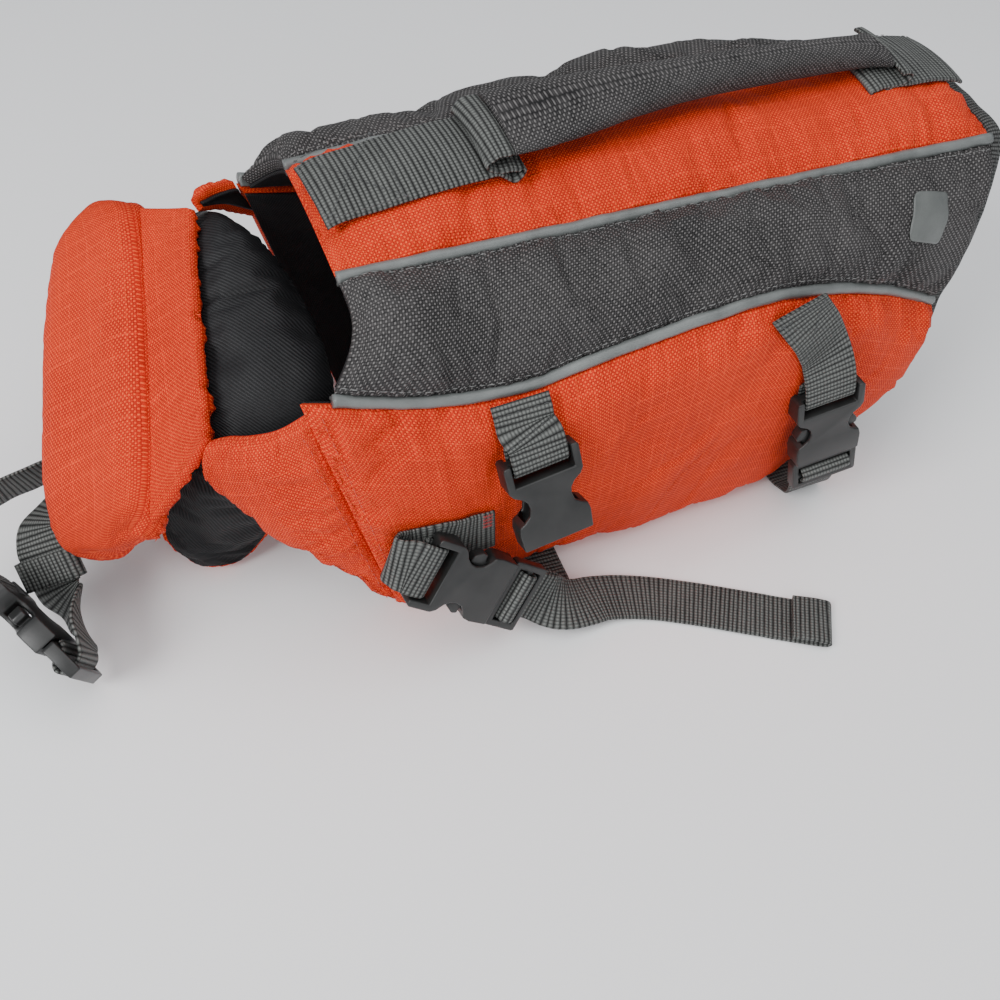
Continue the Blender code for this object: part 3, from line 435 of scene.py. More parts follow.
def sweep(name, path, sections, look, nodes, closed=False, droops=None):
    """path: (position, across, up) at each step; sections: one loop of (across, up) offsets for each."""
    points, faces, maps, n, steps_along = [], [], [], len(sections[0]), len(path)
    around = [0.0]
    for (a, b), (a2, b2) in zip(sections[0], sections[0][1:] + sections[0][:1]):
        around.append(around[-1] + math.hypot(a2 - a, b2 - b))
    runs = [0.0]
    for k in range(1, steps_along + 1):
        runs.append(runs[-1] + (Vector(path[k % steps_along][0]) - Vector(path[k - 1][0])).length)
    for (place, across, up), section, droop in zip(path, sections, droops or [0.0] * len(path)):
        half = max(a for a, _ in section)
        points += [place + across * a + up * b - Vector((0, 0, droop * (a / half) ** 2)) for a, b in section]
    for k in range(steps_along if closed else steps_along - 1):
        here, there = k * n, (k + 1) % steps_along * n
        for i in range(n):
            j = (i + 1) % n
            faces.append((here + i, here + j, there + j, there + i))
            maps.append([(runs[k], around[i]), (runs[k], around[i + 1]), (runs[k + 1], around[i + 1]),
                         (runs[k + 1], around[i])])
    if not closed:
        last = (steps_along - 1) * n
        faces += [tuple(range(n)), tuple(last + i for i in reversed(range(n)))]
        maps += [list(sections[0]), list(reversed(sections[-1]))]
    return piece(name, points, faces, maps, look, nodes)


# ---------------------------------------------------------------- curves and surfaces
def smooth(rows, t):
    """A row of the table at t (0 to 1), Catmull-Rom between rows, straight beyond the ends."""
    n = len(rows) - 1
    s = t * n
    i = min(max(int(math.floor(s)), 0), n - 1)
    f = s - i
    a, b, c, d = rows[max(i - 1, 0)], rows[i], rows[i + 1], rows[min(i + 2, n)]
    if f < 0.0 or f > 1.0:
        return type(b)(*(q + (r - q) * f for q, r in zip(b, c)))
    return type(b)(*(0.5 * (2 * q + (r - p) * f + (2 * p - 5 * q + 4 * r - w) * f * f
                            + (3 * q - p - 3 * r + w) * f ** 3) for p, q, r, w in zip(a, b, c, d)))


NUDGE = 0.004         # step in u and v between the points that give a surface's direction


def normal_of(surface, u, v, flip):
    du = surface(u + NUDGE, v) - surface(u - NUDGE, v)
    dv = surface(u, v + NUDGE) - surface(u, v - NUDGE)
    return du.cross(dv).normalized() * flip


def patch(edge_a, edge_b, bow, flip=1.0):
    """Surface ruled between two edge curves and bowed outward by bow(u) in the middle."""
    def ruled(u, v):
        return edge_a(u).lerp(edge_b(u), v)

    def surface(u, v):
        lift = bow(u) * 4.0 * v * (1.0 - v)
        if abs(lift) < 1e-6:
            return ruled(u, v)
        return ruled(u, v) + normal_of(ruled, u, 0.5, flip) * lift
    return surface


def ease(distance, reach):
    """0 to 1 over reach, levelling off."""
    return 1.0 - (1.0 - min(max(distance / reach, 0.0), 1.0)) ** 2


def wobble(x, y, seed):
    return noise.noise(Vector((x, y, seed)))


Fold = namedtuple("Fold", "u lean width depth")   # soft trough across a panel
Pocket = namedtuple("Pocket", "surface length margins puff flip folds radius")   # margins: u, u, v, v in mm


def width_at(pocket, u):
    return (pocket.surface(u, 1.0) - pocket.surface(u, 0.0)).length


def plumpness(pocket, u, v, width):
    """0 to 1: how full of foam the pocket is, rounding over at its four sewn sides."""
    m, full = pocket.margins, 1.0
    for distance in (u * pocket.length - m[0], (1 - u) * pocket.length - m[1], v * width - m[2],
                     (1 - v) * width - m[3]):
        k = np.clip(distance / pocket.radius, 0.0, 1.0)
        full = full * np.sqrt(np.maximum(1.0 - (1.0 - k) ** 2, 0.0))
    return full


def outer_height(pocket, plump, u, v):
    dip = sum(f.depth * np.exp(-((u - f.u - f.lean * (v - 0.5)) * pocket.length / f.width) ** 2)
              for f in pocket.folds)
    return plump * (pocket.puff - dip)


def on_panel(pocket, u, v):
    """Point on the pocket's outer cloth, and the outward direction there."""
    out = normal_of(pocket.surface, u, v, pocket.flip)
    plump = plumpness(pocket, u, v, width_at(pocket, u))
    return pocket.surface(u, v) + out * float(outer_height(pocket, plump, u, v)), out


def draped(pocket, cloth, u, v, above=12.0):
    """Point on the panel without its puckers, the outward direction, and the cloth's own point there."""
    spot, out = on_panel(pocket, u, v)
    return spot, out, facets[cloth].ray_cast(spot + out * above, -out, 30.0)[0] or spot


# ---------------------------------------------------------------- sewn foam panels
RIM = (0.0, 0.3, 0.8, 1.5, 2.5, 3.8)     # places of the rows of points next to a sewn side
TAPER, TAPER_SHARE = 1.4, 0.12   # how far the inner side of a rim is drawn in, and the most of a side


def fine(length, margins, pitch):
    """Distances along a side of a panel, closer together where its rim rounds over."""
    start, end = margins[0], length - margins[1]
    share = min(1.0, (end - start) / 12.0)
    rim = [r * share for r in RIM]
    count = max(int((end - start - 2 * rim[-1]) / pitch), 3)
    inner = [rim[-1] + (end - start - 2 * rim[-1]) * k / count for k in range(1, count)]
    return [(start + r) / length for r in rim + inner] + [(end - r) / length for r in reversed(rim)]


def drawn_in(t, share):
    """t (0 to 1) moved towards the middle by a share at each end."""
    return 0.5 + (t - 0.5) * (1.0 - 2.0 * share)


class Lattice:
    """A panel's surface sampled once, then read anywhere with smooth interpolation."""

    def __init__(self, surface):
        self.us = np.linspace(-0.02, 1.02, 46)
        self.vs = np.linspace(-0.06, 1.06, 16)
        self.grid = np.array([[tuple(surface(u, v)) for v in self.vs] for u in self.us])

    def weights(self, places, knots):
        step = knots[1] - knots[0]
        s = (places - knots[0]) / step
        i = np.clip(np.floor(s).astype(int), 1, len(knots) - 3)
        f = s - i
        w = np.stack([-f + 2 * f * f - f ** 3, 2 - 5 * f * f + 3 * f ** 3,
                      f + 4 * f * f - 3 * f ** 3, -f * f + f ** 3], -1) * 0.5
        return i, w

    def at(self, u, v):
        i, wu = self.weights(u, self.us)
        j, wv = self.weights(v, self.vs)
        total = np.zeros(u.shape + (3,))
        for a in range(4):
            for b in range(4):
                total += (wu[..., a] * wv[..., b])[..., None] * self.grid[i + a - 1, j + b - 1]
        return total

    def base(self, u, v, flip):
        """Points of the surface and the outward directions there."""
        du = self.at(u + NUDGE, v) - self.at(u - NUDGE, v)
        dv = self.at(u, v + NUDGE) - self.at(u, v - NUDGE)
        normal = np.cross(du, dv)
        return self.at(u, v), normal / np.linalg.norm(normal, axis=-1, keepdims=True) * flip


GROWN = 10.0          # the cloth is simulated at ten times its size
SLACK = 0.05          # how much too large the sewn face is cut
PUSH = 0.6            # the foam's push from inside
FRAMES = 16           # steps of each cloth simulation
BUCKLE = 2.2          # how far a point of the cloth may move in it
HELD = (1.0, 0.8, 0.3, 0.05, 0.0)    # how firmly the rows of points are sewn down, from the rim inwards


def settled(rows, push):
    """Cloth simulation of a face sewn down all round: cut a little too large, it buckles at its seams."""
    nu, nv = len(rows), len(rows[0])
    mesh = bpy.data.meshes.new("sewn_face")
    mesh.from_pydata([p * MM * GROWN for row in rows for p in row], [],
                     [(i * nv + j, (i + 1) * nv + j, (i + 1) * nv + j + 1, i * nv + j + 1)
                      for i in range(nu - 1) for j in range(nv - 1)])
    face = linked("sewn_face", mesh)
    held = face.vertex_groups.new(name="held")
    for i in range(nu):
        for j in range(nv):
            from_edge = min(i, j, nu - 1 - i, nv - 1 - j, len(HELD) - 1)
            held.add([i * nv + j], HELD[from_edge], "REPLACE")
    made = face.modifiers.new("fabric", "CLOTH")
    fabric = made.settings
    fabric.quality, fabric.mass, fabric.air_damping = 4, 0.3, 2.0
    fabric.tension_stiffness = fabric.compression_stiffness = 12.0
    fabric.shear_stiffness, fabric.bending_stiffness = 3.0, 0.02
    fabric.tension_damping = fabric.compression_damping = fabric.shear_damping = 4.0
    fabric.vertex_group_mass, fabric.pin_stiffness = "held", 2.0
    fabric.shrink_min = fabric.shrink_max = -SLACK
    fabric.use_pressure, fabric.uniform_pressure_force = True, push
    fabric.effector_weights.gravity = 0.0
    made.collision_settings.use_collision = made.collision_settings.use_self_collision = False
    made.point_cache.frame_start, made.point_cache.frame_end = 1, FRAMES
    scene = bpy.context.scene
    for step in range(1, FRAMES + 1):
        scene.frame_set(step)
    moved = face.evaluated_get(bpy.context.evaluated_depsgraph_get()).data
    spots = np.empty(nu * nv * 3)
    moved.vertices.foreach_get("co", spots)
    start = np.array([tuple(p) for row in rows for p in row])
    shift = spots.reshape(-1, 3) / (MM * GROWN) - start
    far = np.linalg.norm(shift, axis=1, keepdims=True)
    shift = shift * np.minimum(1.0, BUCKLE / np.maximum(far, 1e-9))
    bpy.data.objects.remove(face, do_unlink=True)
    scene.frame_set(1)
    return shift.reshape(nu, nv, 3)


# heights in mm of puckers at the seams, creases and uneven filling; sewn sides that pucker; seed; slant
Cloth = namedtuple("Cloth", "pucker crease swell seams seed lean", defaults=(0.0,))
ALL_SIDES = (0, 1, 2, 3)
PUCKER_REACH = 26.0   # no pucker runs farther in than this
CREASE_SHARP = 0.085  # how narrow a crease is, as a share of its wave


def relief(cloth, s, t, length, width):
    """Puckers that run in from the sewn sides, soft creases and uneven filling, in mm."""
    total = cloth.swell * (wobble(s / 34.0, t / 26.0, cloth.seed)
                           + 0.55 * wobble(s / 15.0, t / 13.0, cloth.seed + 4.0))
    inside = 1.0
    for k, (away, run) in enumerate(((t, s), (width - t, s), (s, t), (length - s, t))):
        inside *= min(max(away, 0.0) / 3.0, 1.0)
        if k not in cloth.seams or away > PUCKER_REACH:
            continue
        reach = 7.0 + 6.0 * wobble(run / 19.0, k * 3.1, cloth.seed)
        fade = min(max(away, 0.0) / 1.6, 1.0) * math.exp(-away / max(reach, 3.0))
        wave = (wobble(run / 3.1, away / 30.0, cloth.seed + 7 * k)
                + 0.8 * wobble(run / 7.5, away / 40.0, cloth.seed + 7 * k + 3))
        total += cloth.pucker * fade * wave * 1.7
    run, over = s + cloth.lean * t, t - cloth.lean * s
    bent = wobble(run / 21.0 + 0.6 * wobble(s / 30.0, t / 30.0, cloth.seed + 9), over / 46.0, cloth.seed + 11)
    where = min(max(wobble(s / 40.0, t / 30.0, cloth.seed + 13) * 3.0 + 0.6, 0.0), 1.0)
    sharp = math.exp(-(bent / CREASE_SHARP) ** 2)
    total += cloth.crease * inside * where * ((bent * 1.4) - 0.75 * sharp)
    return total * min(inside * 3.0, 1.0)


ROLL = 2.6            # how far the outer cloth is rolled over where the lining faces up
ROLL_END = 0.30       # it is rolled over from the near lobe to this share of the length


def padded_panel(name, look, pocket, cloth, lined=True, edge=EDGE, hem=None, back_puff=0.0,
                 lining_up=False, pitch=1.9):
    """Foam pocket: plump outside, sewn rim, lining on the other side."""
    lattice, L, flip = Lattice(pocket.surface), pocket.length, pocket.flip
    us = fine(L, pocket.margins[:2], pitch)
    widest = max(width_at(pocket, u) for u in (0.0, 0.25, 0.5, 0.75, 1.0))
    count = len(fine(widest, pocket.margins[2:], pitch))
    U, V, wide = [], [], []
    for u in us:
        width = width_at(pocket, min(max(u, 0.0), 1.0))
        level = width - sum(pocket.margins[2:]) - 2 * RIM[-1]
        vs = fine(width, pocket.margins[2:], level / (count - 2 * len(RIM) + 1 + 0.001))
        if len(vs) != count:
            vs = np.interp(np.linspace(0, 1, count), np.linspace(0, 1, len(vs)), vs)
        U.append([u] * count)
        V.append(list(vs))
        wide.append([width] * count)
    U, V, wide = np.array(U), np.array(V), np.array(wide)
    plump = plumpness(pocket, U, V, wide)
    rough = np.array([[relief(cloth, u * L, v * w, L, w) for u, v, w in zip(*rows)]
                      for rows in zip(U, V, wide)])
    rough_here = rough * np.minimum(plump * 2.5, 1.0)
    face = outer_height(pocket, plump, U, V) + rough_here
    outer = lattice.base(U, V, flip)
    ease_in = np.minimum(TAPER / wide, TAPER_SHARE)
    Vi = V + ease_in * (1.0 - V) if hem else drawn_in(V, ease_in)
    inner = lattice.base(drawn_in(U, min(TAPER / L, TAPER_SHARE)), Vi, flip)
    rear = -edge - back_puff * plump + rough * 0.35 * np.minimum(plump * 2.5, 1.0)

    def rows_at(base, height):
        grid = base[0] + base[1] * height[..., None]
        if hem:
            grid[:, -1, 2] = [hem(u) for u in us]
        return [[Vector(p) for p in row] for row in grid.tolist()]

    spots = [[(u * L, v * w) for u, v, w in zip(*rows)] for rows in zip(U, V, wide)]
    if lining_up:
        # the outer cloth rolls over the rim, and the lining is sewn down inside that roll
        rolled = ROLL * np.clip((ROLL_END - U) / 0.10, 0.0, 1.0)
        from_rim = np.minimum(U * L, np.minimum(V * wide, (1 - V) * wide))
        roll = ((LINING + GAP + 0.6) * np.clip(1.0 - from_rim / ROLL, 0.0, 1.0) ** 0.5 * rolled / ROLL
                - 0.9 * np.clip(from_rim / ROLL - 0.6, 0.0, 1.0))
        Vl, Ul = drawn_in(V, rolled / wide), U + rolled / L * (1.0 - U)
        on_top = plumpness(pocket, Ul, Vl, wide) * pocket.puff + rough_here + GAP
        top = lattice.base(Ul, Vl, flip)
        layers = [rows_at(outer, face - LINING - GAP + roll), rows_at(inner, rear),
                  rows_at(top, on_top), rows_at(top, on_top - LINING)]
        shown, moving = 2, (0, 2, 3)
    else:
        layers = [rows_at(outer, face), rows_at(inner, rear),
                  rows_at(inner, rear - GAP), rows_at(inner, rear - GAP - LINING)]
        shown, moving = 0, (0,)
    shift = settled(layers[shown], PUSH * flip)
    for k in moving:
        layers[k] = [[p + Vector(d) for p, d in zip(*rows)] for rows in zip(layers[k], shift)]
    made = sheet_between(name + "_cloth", layers[0], layers[1], spots, look, [name])
    facets[name] = facets[name + "_cloth"]
    if lined:
        kept = sorted({*range(0, len(us), 1 if lining_up else 2), len(us) - 1})
        top, bottom, its_spots = ([grid[k] for k in kept] for grid in (layers[2], layers[3], spots))
        lining = sheet_between(name + "_lining_cloth", top, bottom, its_spots, TWILL, [name + "_lining"])
        cut = sum(p.area for p in lining.data.polygons) / 2
        across = float(wide.max()) * MM
        max(L * MM, cut / across * 1.001)
        max(cut, 0.301 * across * L * MM)


# ---------------------------------------------------------------- body ribs, neck to tail
Rib = namedtuple("Rib", "x_top x_low x_hem mid top low z_low hem z_hem rise")   # rise: far side's height
RIBS = (
    Rib(0, -12, 4, 0.0, 30.5, 60.0, 110.0, 63.0, 0.0, 2.0),
    Rib(31, 18, 28, 1.0, 31.5, 62.8, 101.5, 60.7, 0.0, 3.2),
    Rib(63, 48, 52, 2.0, 32.5, 65.7, 99.5, 59.5, 2.6, 3.4),
    Rib(94, 78, 76, 3.5, 34.0, 68.3, 105.5, 60.5, 2.6, 3.2),
    Rib(125, 108, 100, 5.0, 35.5, 70.0, 110.0, 62.0, 0.0, 3.0),
    Rib(157, 139, 125, 7.0, 37.5, 70.3, 111.0, 63.3, 0.0, 3.0),
    Rib(188, 170, 150, 8.8, 39.3, 69.0, 104.5, 63.6, 0.0, 2.5),
    Rib(220, 202, 172, 9.4, 39.9, 64.5, 91.5, 61.5, 2.6, 1.2),
    Rib(251, 233, 190, 9.6, 40.1, 60.0, 75.0, 57.5, 3.0, -1.0),
)
TOP_Z = 130.0
BACK_L, LOW_L = 251.0, 245.0
SEAM = 1.5            # from the middle of a piping to the panel beside it
SIDES = ((-1, "near"), (1, "far"))


def far_rise(side, rib):
    return rib.rise if side > 0 else 0.0


def top_edge(side):
    def curve(u):
        rib = smooth(RIBS, u)
        return Vector((rib.x_top, rib.mid + side * rib.top, TOP_Z + far_rise(side, rib)))
    return curve


def low_edge(side):
    def curve(u):
        rib = smooth(RIBS, u)
        return Vector((rib.x_low, rib.mid + side * (rib.low + 0.3 * far_rise(side, rib)),
                       rib.z_low + far_rise(side, rib)))
    return curve


def hem_edge(side):
    def curve(u):
        rib = smooth(RIBS, u)
        shift = 12.0 * max(1.0 - 4.0 * u, 0.0) ** 2 if side > 0 else 0.0
        return Vector((rib.x_hem + shift, rib.mid + side * rib.hem, rib.z_hem))
    return curve


def hem_height(u):
    return max(smooth(RIBS, u).z_hem, 0.0)


# crown of the back: none at the neck edge, where the handle webbing pulls it down
back = Pocket(patch(top_edge(-1), top_edge(1), lambda u: 6.0 * ease(u * BACK_L + 8.0, 50.0)),
              BACK_L, (0.0, 0.0, SEAM, SEAM), 5.5, 1.0,
              (Fold(0.33, 0.05, 12.0, 1.0), Fold(0.62, -0.04, 12.0, 1.0)), 24.0)
padded_panel("back_panel", ORANGE, back, Cloth(1.5, 1.3, 1.3, ALL_SIDES, 2.0, 0.35))

SIDE_FOLDS = {
    -1: (Fold(0.17, 0.06, 11.0, 1.4), Fold(0.36, -0.05, 12.0, 2.0), Fold(0.50, 0.03, 9.0, 1.2),
         Fold(0.76, 0.04, 12.0, 1.0)),
    1: (Fold(0.22, -0.05, 12.0, 1.4), Fold(0.47, 0.05, 11.0, 1.8), Fold(0.70, 0.0, 12.0, 1.2)),
}
LOW_FOLDS = {
    -1: (Fold(0.20, 0.04, 12.0, 1.2), Fold(0.44, -0.03, 12.0, 1.0), Fold(0.83, 0.10, 9.0, 1.8)),
    1: (Fold(0.30, -0.04, 13.0, 1.4), Fold(0.62, 0.05, 12.0, 1.2), Fold(0.86, 0.08, 9.0, 1.6)),
}
WING_START = -0.036   # the near lower panel begins at the slanted seam, ahead of the first rib


def flank_surface(side):
    extra = 0.0 if side < 0 else 1.5
    flat = patch(top_edge(side), low_edge(side), lambda u: 4.0 + extra * ease(u * BACK_L, 50.0), side)

    def surface(u, v):
        """The neck edge of the side panel is scooped a little."""
        return flat(u, v) + Vector((5.0 * math.sin(math.pi * v) * max(1.0 - 5.0 * u, 0.0), 0, 0))
    return surface


def lower_surface(side):
    start = WING_START if side < 0 else 0.0
    flat = patch(lambda u: low_edge(side)(start + (1.0 - start) * u), hem_edge(side),
                 lambda u: 7.0 - 2.0 * u, side)

    def surface(u, v):
        """The tail edge swings out before the hem."""
        return flat(u, v) + Vector((9.0 * math.sin(math.pi * v) * max(u, 0.0) ** 6, 0, 0))
    return surface


flank, lower = {}, {}
for side, where in SIDES:
    flank[side] = Pocket(flank_surface(side), BACK_L, (0.0, 0.0, SEAM, SEAM), 6.0, side,
                         SIDE_FOLDS[side], 13.0)
    padded_panel("side_panel_" + where, CHARCOAL, flank[side],
                 Cloth(0.9, 1.1, 1.3, ALL_SIDES, 20.0 + side, -0.3))
    lower[side] = Pocket(lower_surface(side), LOW_L, (-1.4, 0.0, SEAM + (0.4 if side > 0 else 0.0), 0.0),
                         6.5, side, LOW_FOLDS[side], 16.0)
    padded_panel("lower_panel_" + where, ORANGE, lower[side],
                 Cloth(1.2, 1.3, 1.5, (0, 2, 3), 30.0 + side, 0.4), hem=hem_height)

# ---------------------------------------------------------------- front wing and arm
Span = namedtuple("Span", "ax ay az bx by bz")    # upper or inner point a and other point b of a section


def spanned(rows, bow, flip=-1.0):
    """Surface through a table of sections."""
    return patch(lambda u: Vector(smooth(rows, u)[:3]), lambda u: Vector(smooth(rows, u)[3:]), bow, flip)


WING = (                      # from the slanted seam to the nose
    Span(-20.5, -60.4, 107.5, 4.0, -63.0, 1.0),
    Span(-28.5, -54.5, 98.0, -15.5, -60.5, 28.5),
    Span(-36.5, -46.5, 90.5, -31.0, -53.0, 44.5),
    Span(-42.5, -39.5, 85.5, -44.0, -43.5, 57.5),
    Span(-48.5, -34.0, 80.0, -51.5, -35.0, 68.5),
)
wing = Pocket(spanned(WING, lambda u: 4.5 * (1 - 0.7 * u), 1.0), 62.0, (-1.2, 2.4, 0.0, 0.0), 4.5, 1.0, (),
              9.0)
padded_panel("front_wing_near", ORANGE, wing, Cloth(1.1, 1.2, 0.9, ALL_SIDES, 41.0), edge=3.2, pitch=1.3)

ARM = (                       # from the body to the chest piece
    Span(-14.0, 61.0, 111.5, -7.5, 62.5, 94.0),
    Span(-18.0, 58.0, 113.5, -14.0, 59.5, 99.0),
    Span(-23.0, 53.5, 115.5, -21.5, 55.0, 105.0),
    Span(-29.0, 48.0, 117.0, -29.5, 49.0, 109.5),
)
arm = Pocket(spanned(ARM, lambda u: 2.0), 26.0, (0.6, 0.0, 0.0, 0.0), 4.0, -1.0, (), 7.0)
padded_panel("front_arm_far", ORANGE, arm, Cloth(1.0, 0.8, 0.7, ALL_SIDES, 43.0), edge=2.2, pitch=1.2)

# ---------------------------------------------------------------- chest panel and chin float
CHEST = (                     # a: throat edge, b: leg-opening edge; near lobe on the table to far lobe
    Span(-64.0, -20.5, 3.0, -47.0, -23.5, 3.0),
    Span(-73.0, -14.5, 20.0, -37.0, -23.5, 13.0),
    Span(-65.0, -18.0, 47.0, -25.0, -28.0, 38.0),
    Span(-52.0, -24.0, 68.0, -9.0, -33.0, 64.0),
    Span(-49.0, -15.0, 77.5, -3.5, -23.0, 80.0),
    Span(-45.0, 6.0, 86.5, -3.0, 2.0, 89.0),
    Span(-41.5, 24.0, 94.5, -7.0, 25.0, 95.5),
    Span(-38.0, 40.0, 100.5, -14.0, 43.0, 99.0),
    Span(-39.0, 55.0, 100.5, -22.0, 57.0, 88.0),
    Span(-45.0, 66.0, 96.0, -32.0, 67.0, 83.0),
)
chest = Pocket(spanned(CHEST, lambda u: 3.0), 170.0, (0.0, 0.0, 0.0, 0.0), 5.0, -1.0, (), 14.0)
padded_panel("chest_panel", ORANGE, chest, Cloth(0.9, 1.0, 1.4, ALL_SIDES, 47.0), edge=5.5,
             back_puff=3.0, lining_up=True, pitch=1.6)

BORDER = (                    # a: throat edge, b: hinge seam
    Span(-47.5, -36.0, 82.5, -72.0, -46.5, 62.0),
    Span(-44.0, -18.0, 90.0, -65.0, -22.0, 72.0),
    Span(-39.0, 6.0, 98.5, -58.0, 10.0, 84.0),
    Span(-34.5, 28.0, 107.5, -52.0, 38.0, 96.0),
    Span(-30.5, 45.0, 113.0, -47.0, 62.0, 106.0),
)
border = Pocket(spanned(BORDER, lambda u: 0.5), 96.0, (0.0, 0.0, 0.6, -1.2), 2.2, -1.0, (), 8.0)
padded_panel("float_hinge_border", ORANGE, border, Cloth(2.2, 1.2, 0.6, ALL_SIDES, 53.0), lined=False,
             edge=3.0, pitch=1.2)

FLOAT = (                     # a: hinge seam, b: outer edge; near end to far end
    Span(-78.0, -45.0, 56.0, -91.0, -40.0, 44.0),
    Span(-70.9, -41.0, 63.7, -103.0, -30.0, 40.0),
    Span(-65.0, -22.6, 71.8, -105.0, -12.0, 49.0),
    Span(-57.9, 10.0, 84.1, -98.5, 20.0, 62.0),
    Span(-51.6, 39.8, 96.6, -90.5, 50.0, 74.0),
    Span(-48.5, 62.5, 105.2, -81.0, 72.0, 86.0),
    Span(-51.0, 70.0, 104.5, -70.0, 76.0, 94.0),
)
lobe = Pocket(spanned(FLOAT, lambda u: 2.0), 142.0, (0.0, 0.0, -0.7, 0.0), 9.5, -1.0, (), 15.0)
padded_panel("chin_float", ORANGE, lobe, Cloth(1.3, 0.9, 1.3, ALL_SIDES, 59.0), lined=False, edge=3.0,
             back_puff=8.0, pitch=1.6)

# ---------------------------------------------------------------- piping and rear binding
FLANGE, FLANGE_HALF = 3.4, 0.4   # how deep the piping's flange reaches into the seam, half its thickness
PIPE_STOPS = 170


def piping_section(squeeze):
    """Round bead on a thin flange that is caught in the seam."""
    r = PIPE_R * squeeze
    rim = [(r * math.cos(a), r * math.sin(a)) for a in (math.radians(-62 + 304 * k / 18) for k in range(19))]
    return [(FLANGE_HALF, -FLANGE), (FLANGE_HALF, rim[0][1]), *rim[1:-1], (-FLANGE_HALF, rim[-1][1]),
            (-FLANGE_HALF, -FLANGE)]


def bead(name, edge, panels, seed):
    """Piping along a seam: it stands along the mean of the two panels' outward directions."""
    stops, sections = [], []
    for k in range(PIPE_STOPS + 1):
        t = (1.0 - 2.0 / BACK_L) * k / PIPE_STOPS
        tangent = (edge(t + NUDGE) - edge(t - NUDGE)).normalized()
        (one, v), (other, v2) = panels
        up = normal_of(one.surface, t, v, one.flip) + normal_of(other.surface, t, v2, other.flip)
        across = tangent.cross(up).normalized()
        up = across.cross(tangent).normalized()
        waver = across * (0.35 * wobble(t * 21.0, 0.0, seed)) + up * (0.25 * wobble(t * 27.0, 3.0, seed))
        stops.append((edge(t) + up * 0.7 + waver, across, up))
        sections.append(piping_section(1.0 + 0.07 * wobble(t * 60.0, 7.0, seed)))
    sweep(name + "_tape", stops, sections, PIPING, [name])


for side, where in SIDES:
    bead("piping_upper_" + where, top_edge(side), ((back, 0.5 + 0.4 * side), (flank[side], 0.1)), 61.0)
    bead("piping_lower_" + where, low_edge(side), ((flank[side], 0.9), (lower[side], 0.1)), 67.0)

BAND, BAND_T = 5.6, 5.2          # visible width and thickness of the rear binding


def tail_loop():
    """Places along the tail edge, from the near hem over the back to the far hem."""
    halves = []
    for side, _ in SIDES:
        run = [(lower[side], v) for v in (0.985, 0.9, 0.78, 0.64, 0.5, 0.36, 0.22, 0.1)]
        halves.append(run + [(flank[side], v) for v in (1.0, 0.75, 0.5, 0.25)])
    run = halves[0] + [(back, v) for v in (0.02, 0.2, 0.4, 0.6, 0.8, 0.98)] + halves[1][::-1]
    return [Place(*p.surface(1.0, v), *(p.surface(1.0, v) - p.surface(0.985, v)).normalized())
            for p, v in run]


Place = namedtuple("Place", "x y z ax ay az")     # a point and a direction that goes with it


def denser(rows, each):
    """A smooth run through the rows, with rows about each mm apart and no overshoot at short spans."""
    knots = np.array([tuple(row) for row in rows], float)
    spans = np.maximum(np.linalg.norm(np.diff(knots[:, :3], axis=0), axis=1), 1e-6)
    slopes = np.diff(knots, axis=0) / spans[:, None]
    lean = np.vstack([slopes[:1], (slopes[:-1] * spans[1:, None] + slopes[1:] * spans[:-1, None])
                      / (spans[:-1] + spans[1:])[:, None], slopes[-1:]])
    made = []
    for k, span in enumerate(spans):
        parts = max(int(round(span / each)), 1)
        for t in (j / parts for j in range(parts)):
            spot = ((2 * t ** 3 - 3 * t * t + 1) * knots[k] + (t ** 3 - 2 * t * t + t) * span * lean[k]
                    + (3 * t * t - 2 * t ** 3) * knots[k + 1] + (t ** 3 - t * t) * span * lean[k + 1])
            made.append(type(rows[0])(*spot))
    return made + [rows[-1]]


def square_to(direction, tangent):
    """The direction made square to the tangent."""
    direction = Vector(direction)
    return (direction - tangent * direction.dot(tangent)).normalized()


def heading(rows, k):
    """From the row before k to the row after it."""
    return Vector(rows[min(k + 1, len(rows) - 1)][:3]) - Vector(rows[max(k - 1, 0)][:3])


def binding():
    loop = denser(tail_loop(), 1.3)
    stops, sections, half = [], [], BAND / 2
    for k, row in enumerate(loop):
        tangent = heading(loop, k).normalized()
        away = square_to(row[3:], tangent)
        up = away.cross(tangent).normalized()
        stops.append((Vector(row[:3]) + away * (half + 0.5) - up * EDGE * 0.45, away, up))
        thick = BAND_T / 2 * (1.0 + 0.1 * wobble(k * 0.22, 0.0, 71.0))
        ruck = 0.35 * wobble(k * 0.35, 5.0, 71.0)
        under = [(-half + ruck, -thick * 0.72), (-half + 0.5, -thick * 0.86), (-half * 0.3, -thick),
                 (half * 0.4, -thick), (half * 0.8, -thick * 0.82), (half * 0.99, -thick * 0.4)]
        sections.append(under + [(half * 1.05, 0.0)] + [(a, -b) for a, b in reversed(under)])
    sweep("rear_binding_tape", stops, sections, TAPE, ["rear_binding"])
    return stops


band_path = binding()

# ---------------------------------------------------------------- webbing
# middle of the webbing, the direction across it, and how far its edges hang below its middle
Turn = namedtuple("Turn", "x y z ax ay az sag", defaults=(0.0,))
RIB = 1.25            # spacing of the raised ribs across the webbing
WEB_STEP = 0.62       # from one row of its points to the next
WEB_ROUND = 0.75      # radius of its woven edges
CLEAR = 0.06          # room between webbing and table


def flat_section(width, columns, lift):
    """Webbing cut across, with round woven edges."""
    inner = width / 2 - WEB_ROUND
    tops = [inner - 2 * inner * k / (columns - 1) for k in range(columns)]
    half = WEB_T / 2 + lift
    edge = [(inner + WEB_ROUND * math.cos(a), half * math.sin(a)) for a in (-0.9, -0.45, 0.0, 0.45, 0.9)]
    other = [(-a, -b) for a, b in edge]
    return edge + [(a, half) for a in tops] + other + [(a, -half) for a in reversed(tops)]


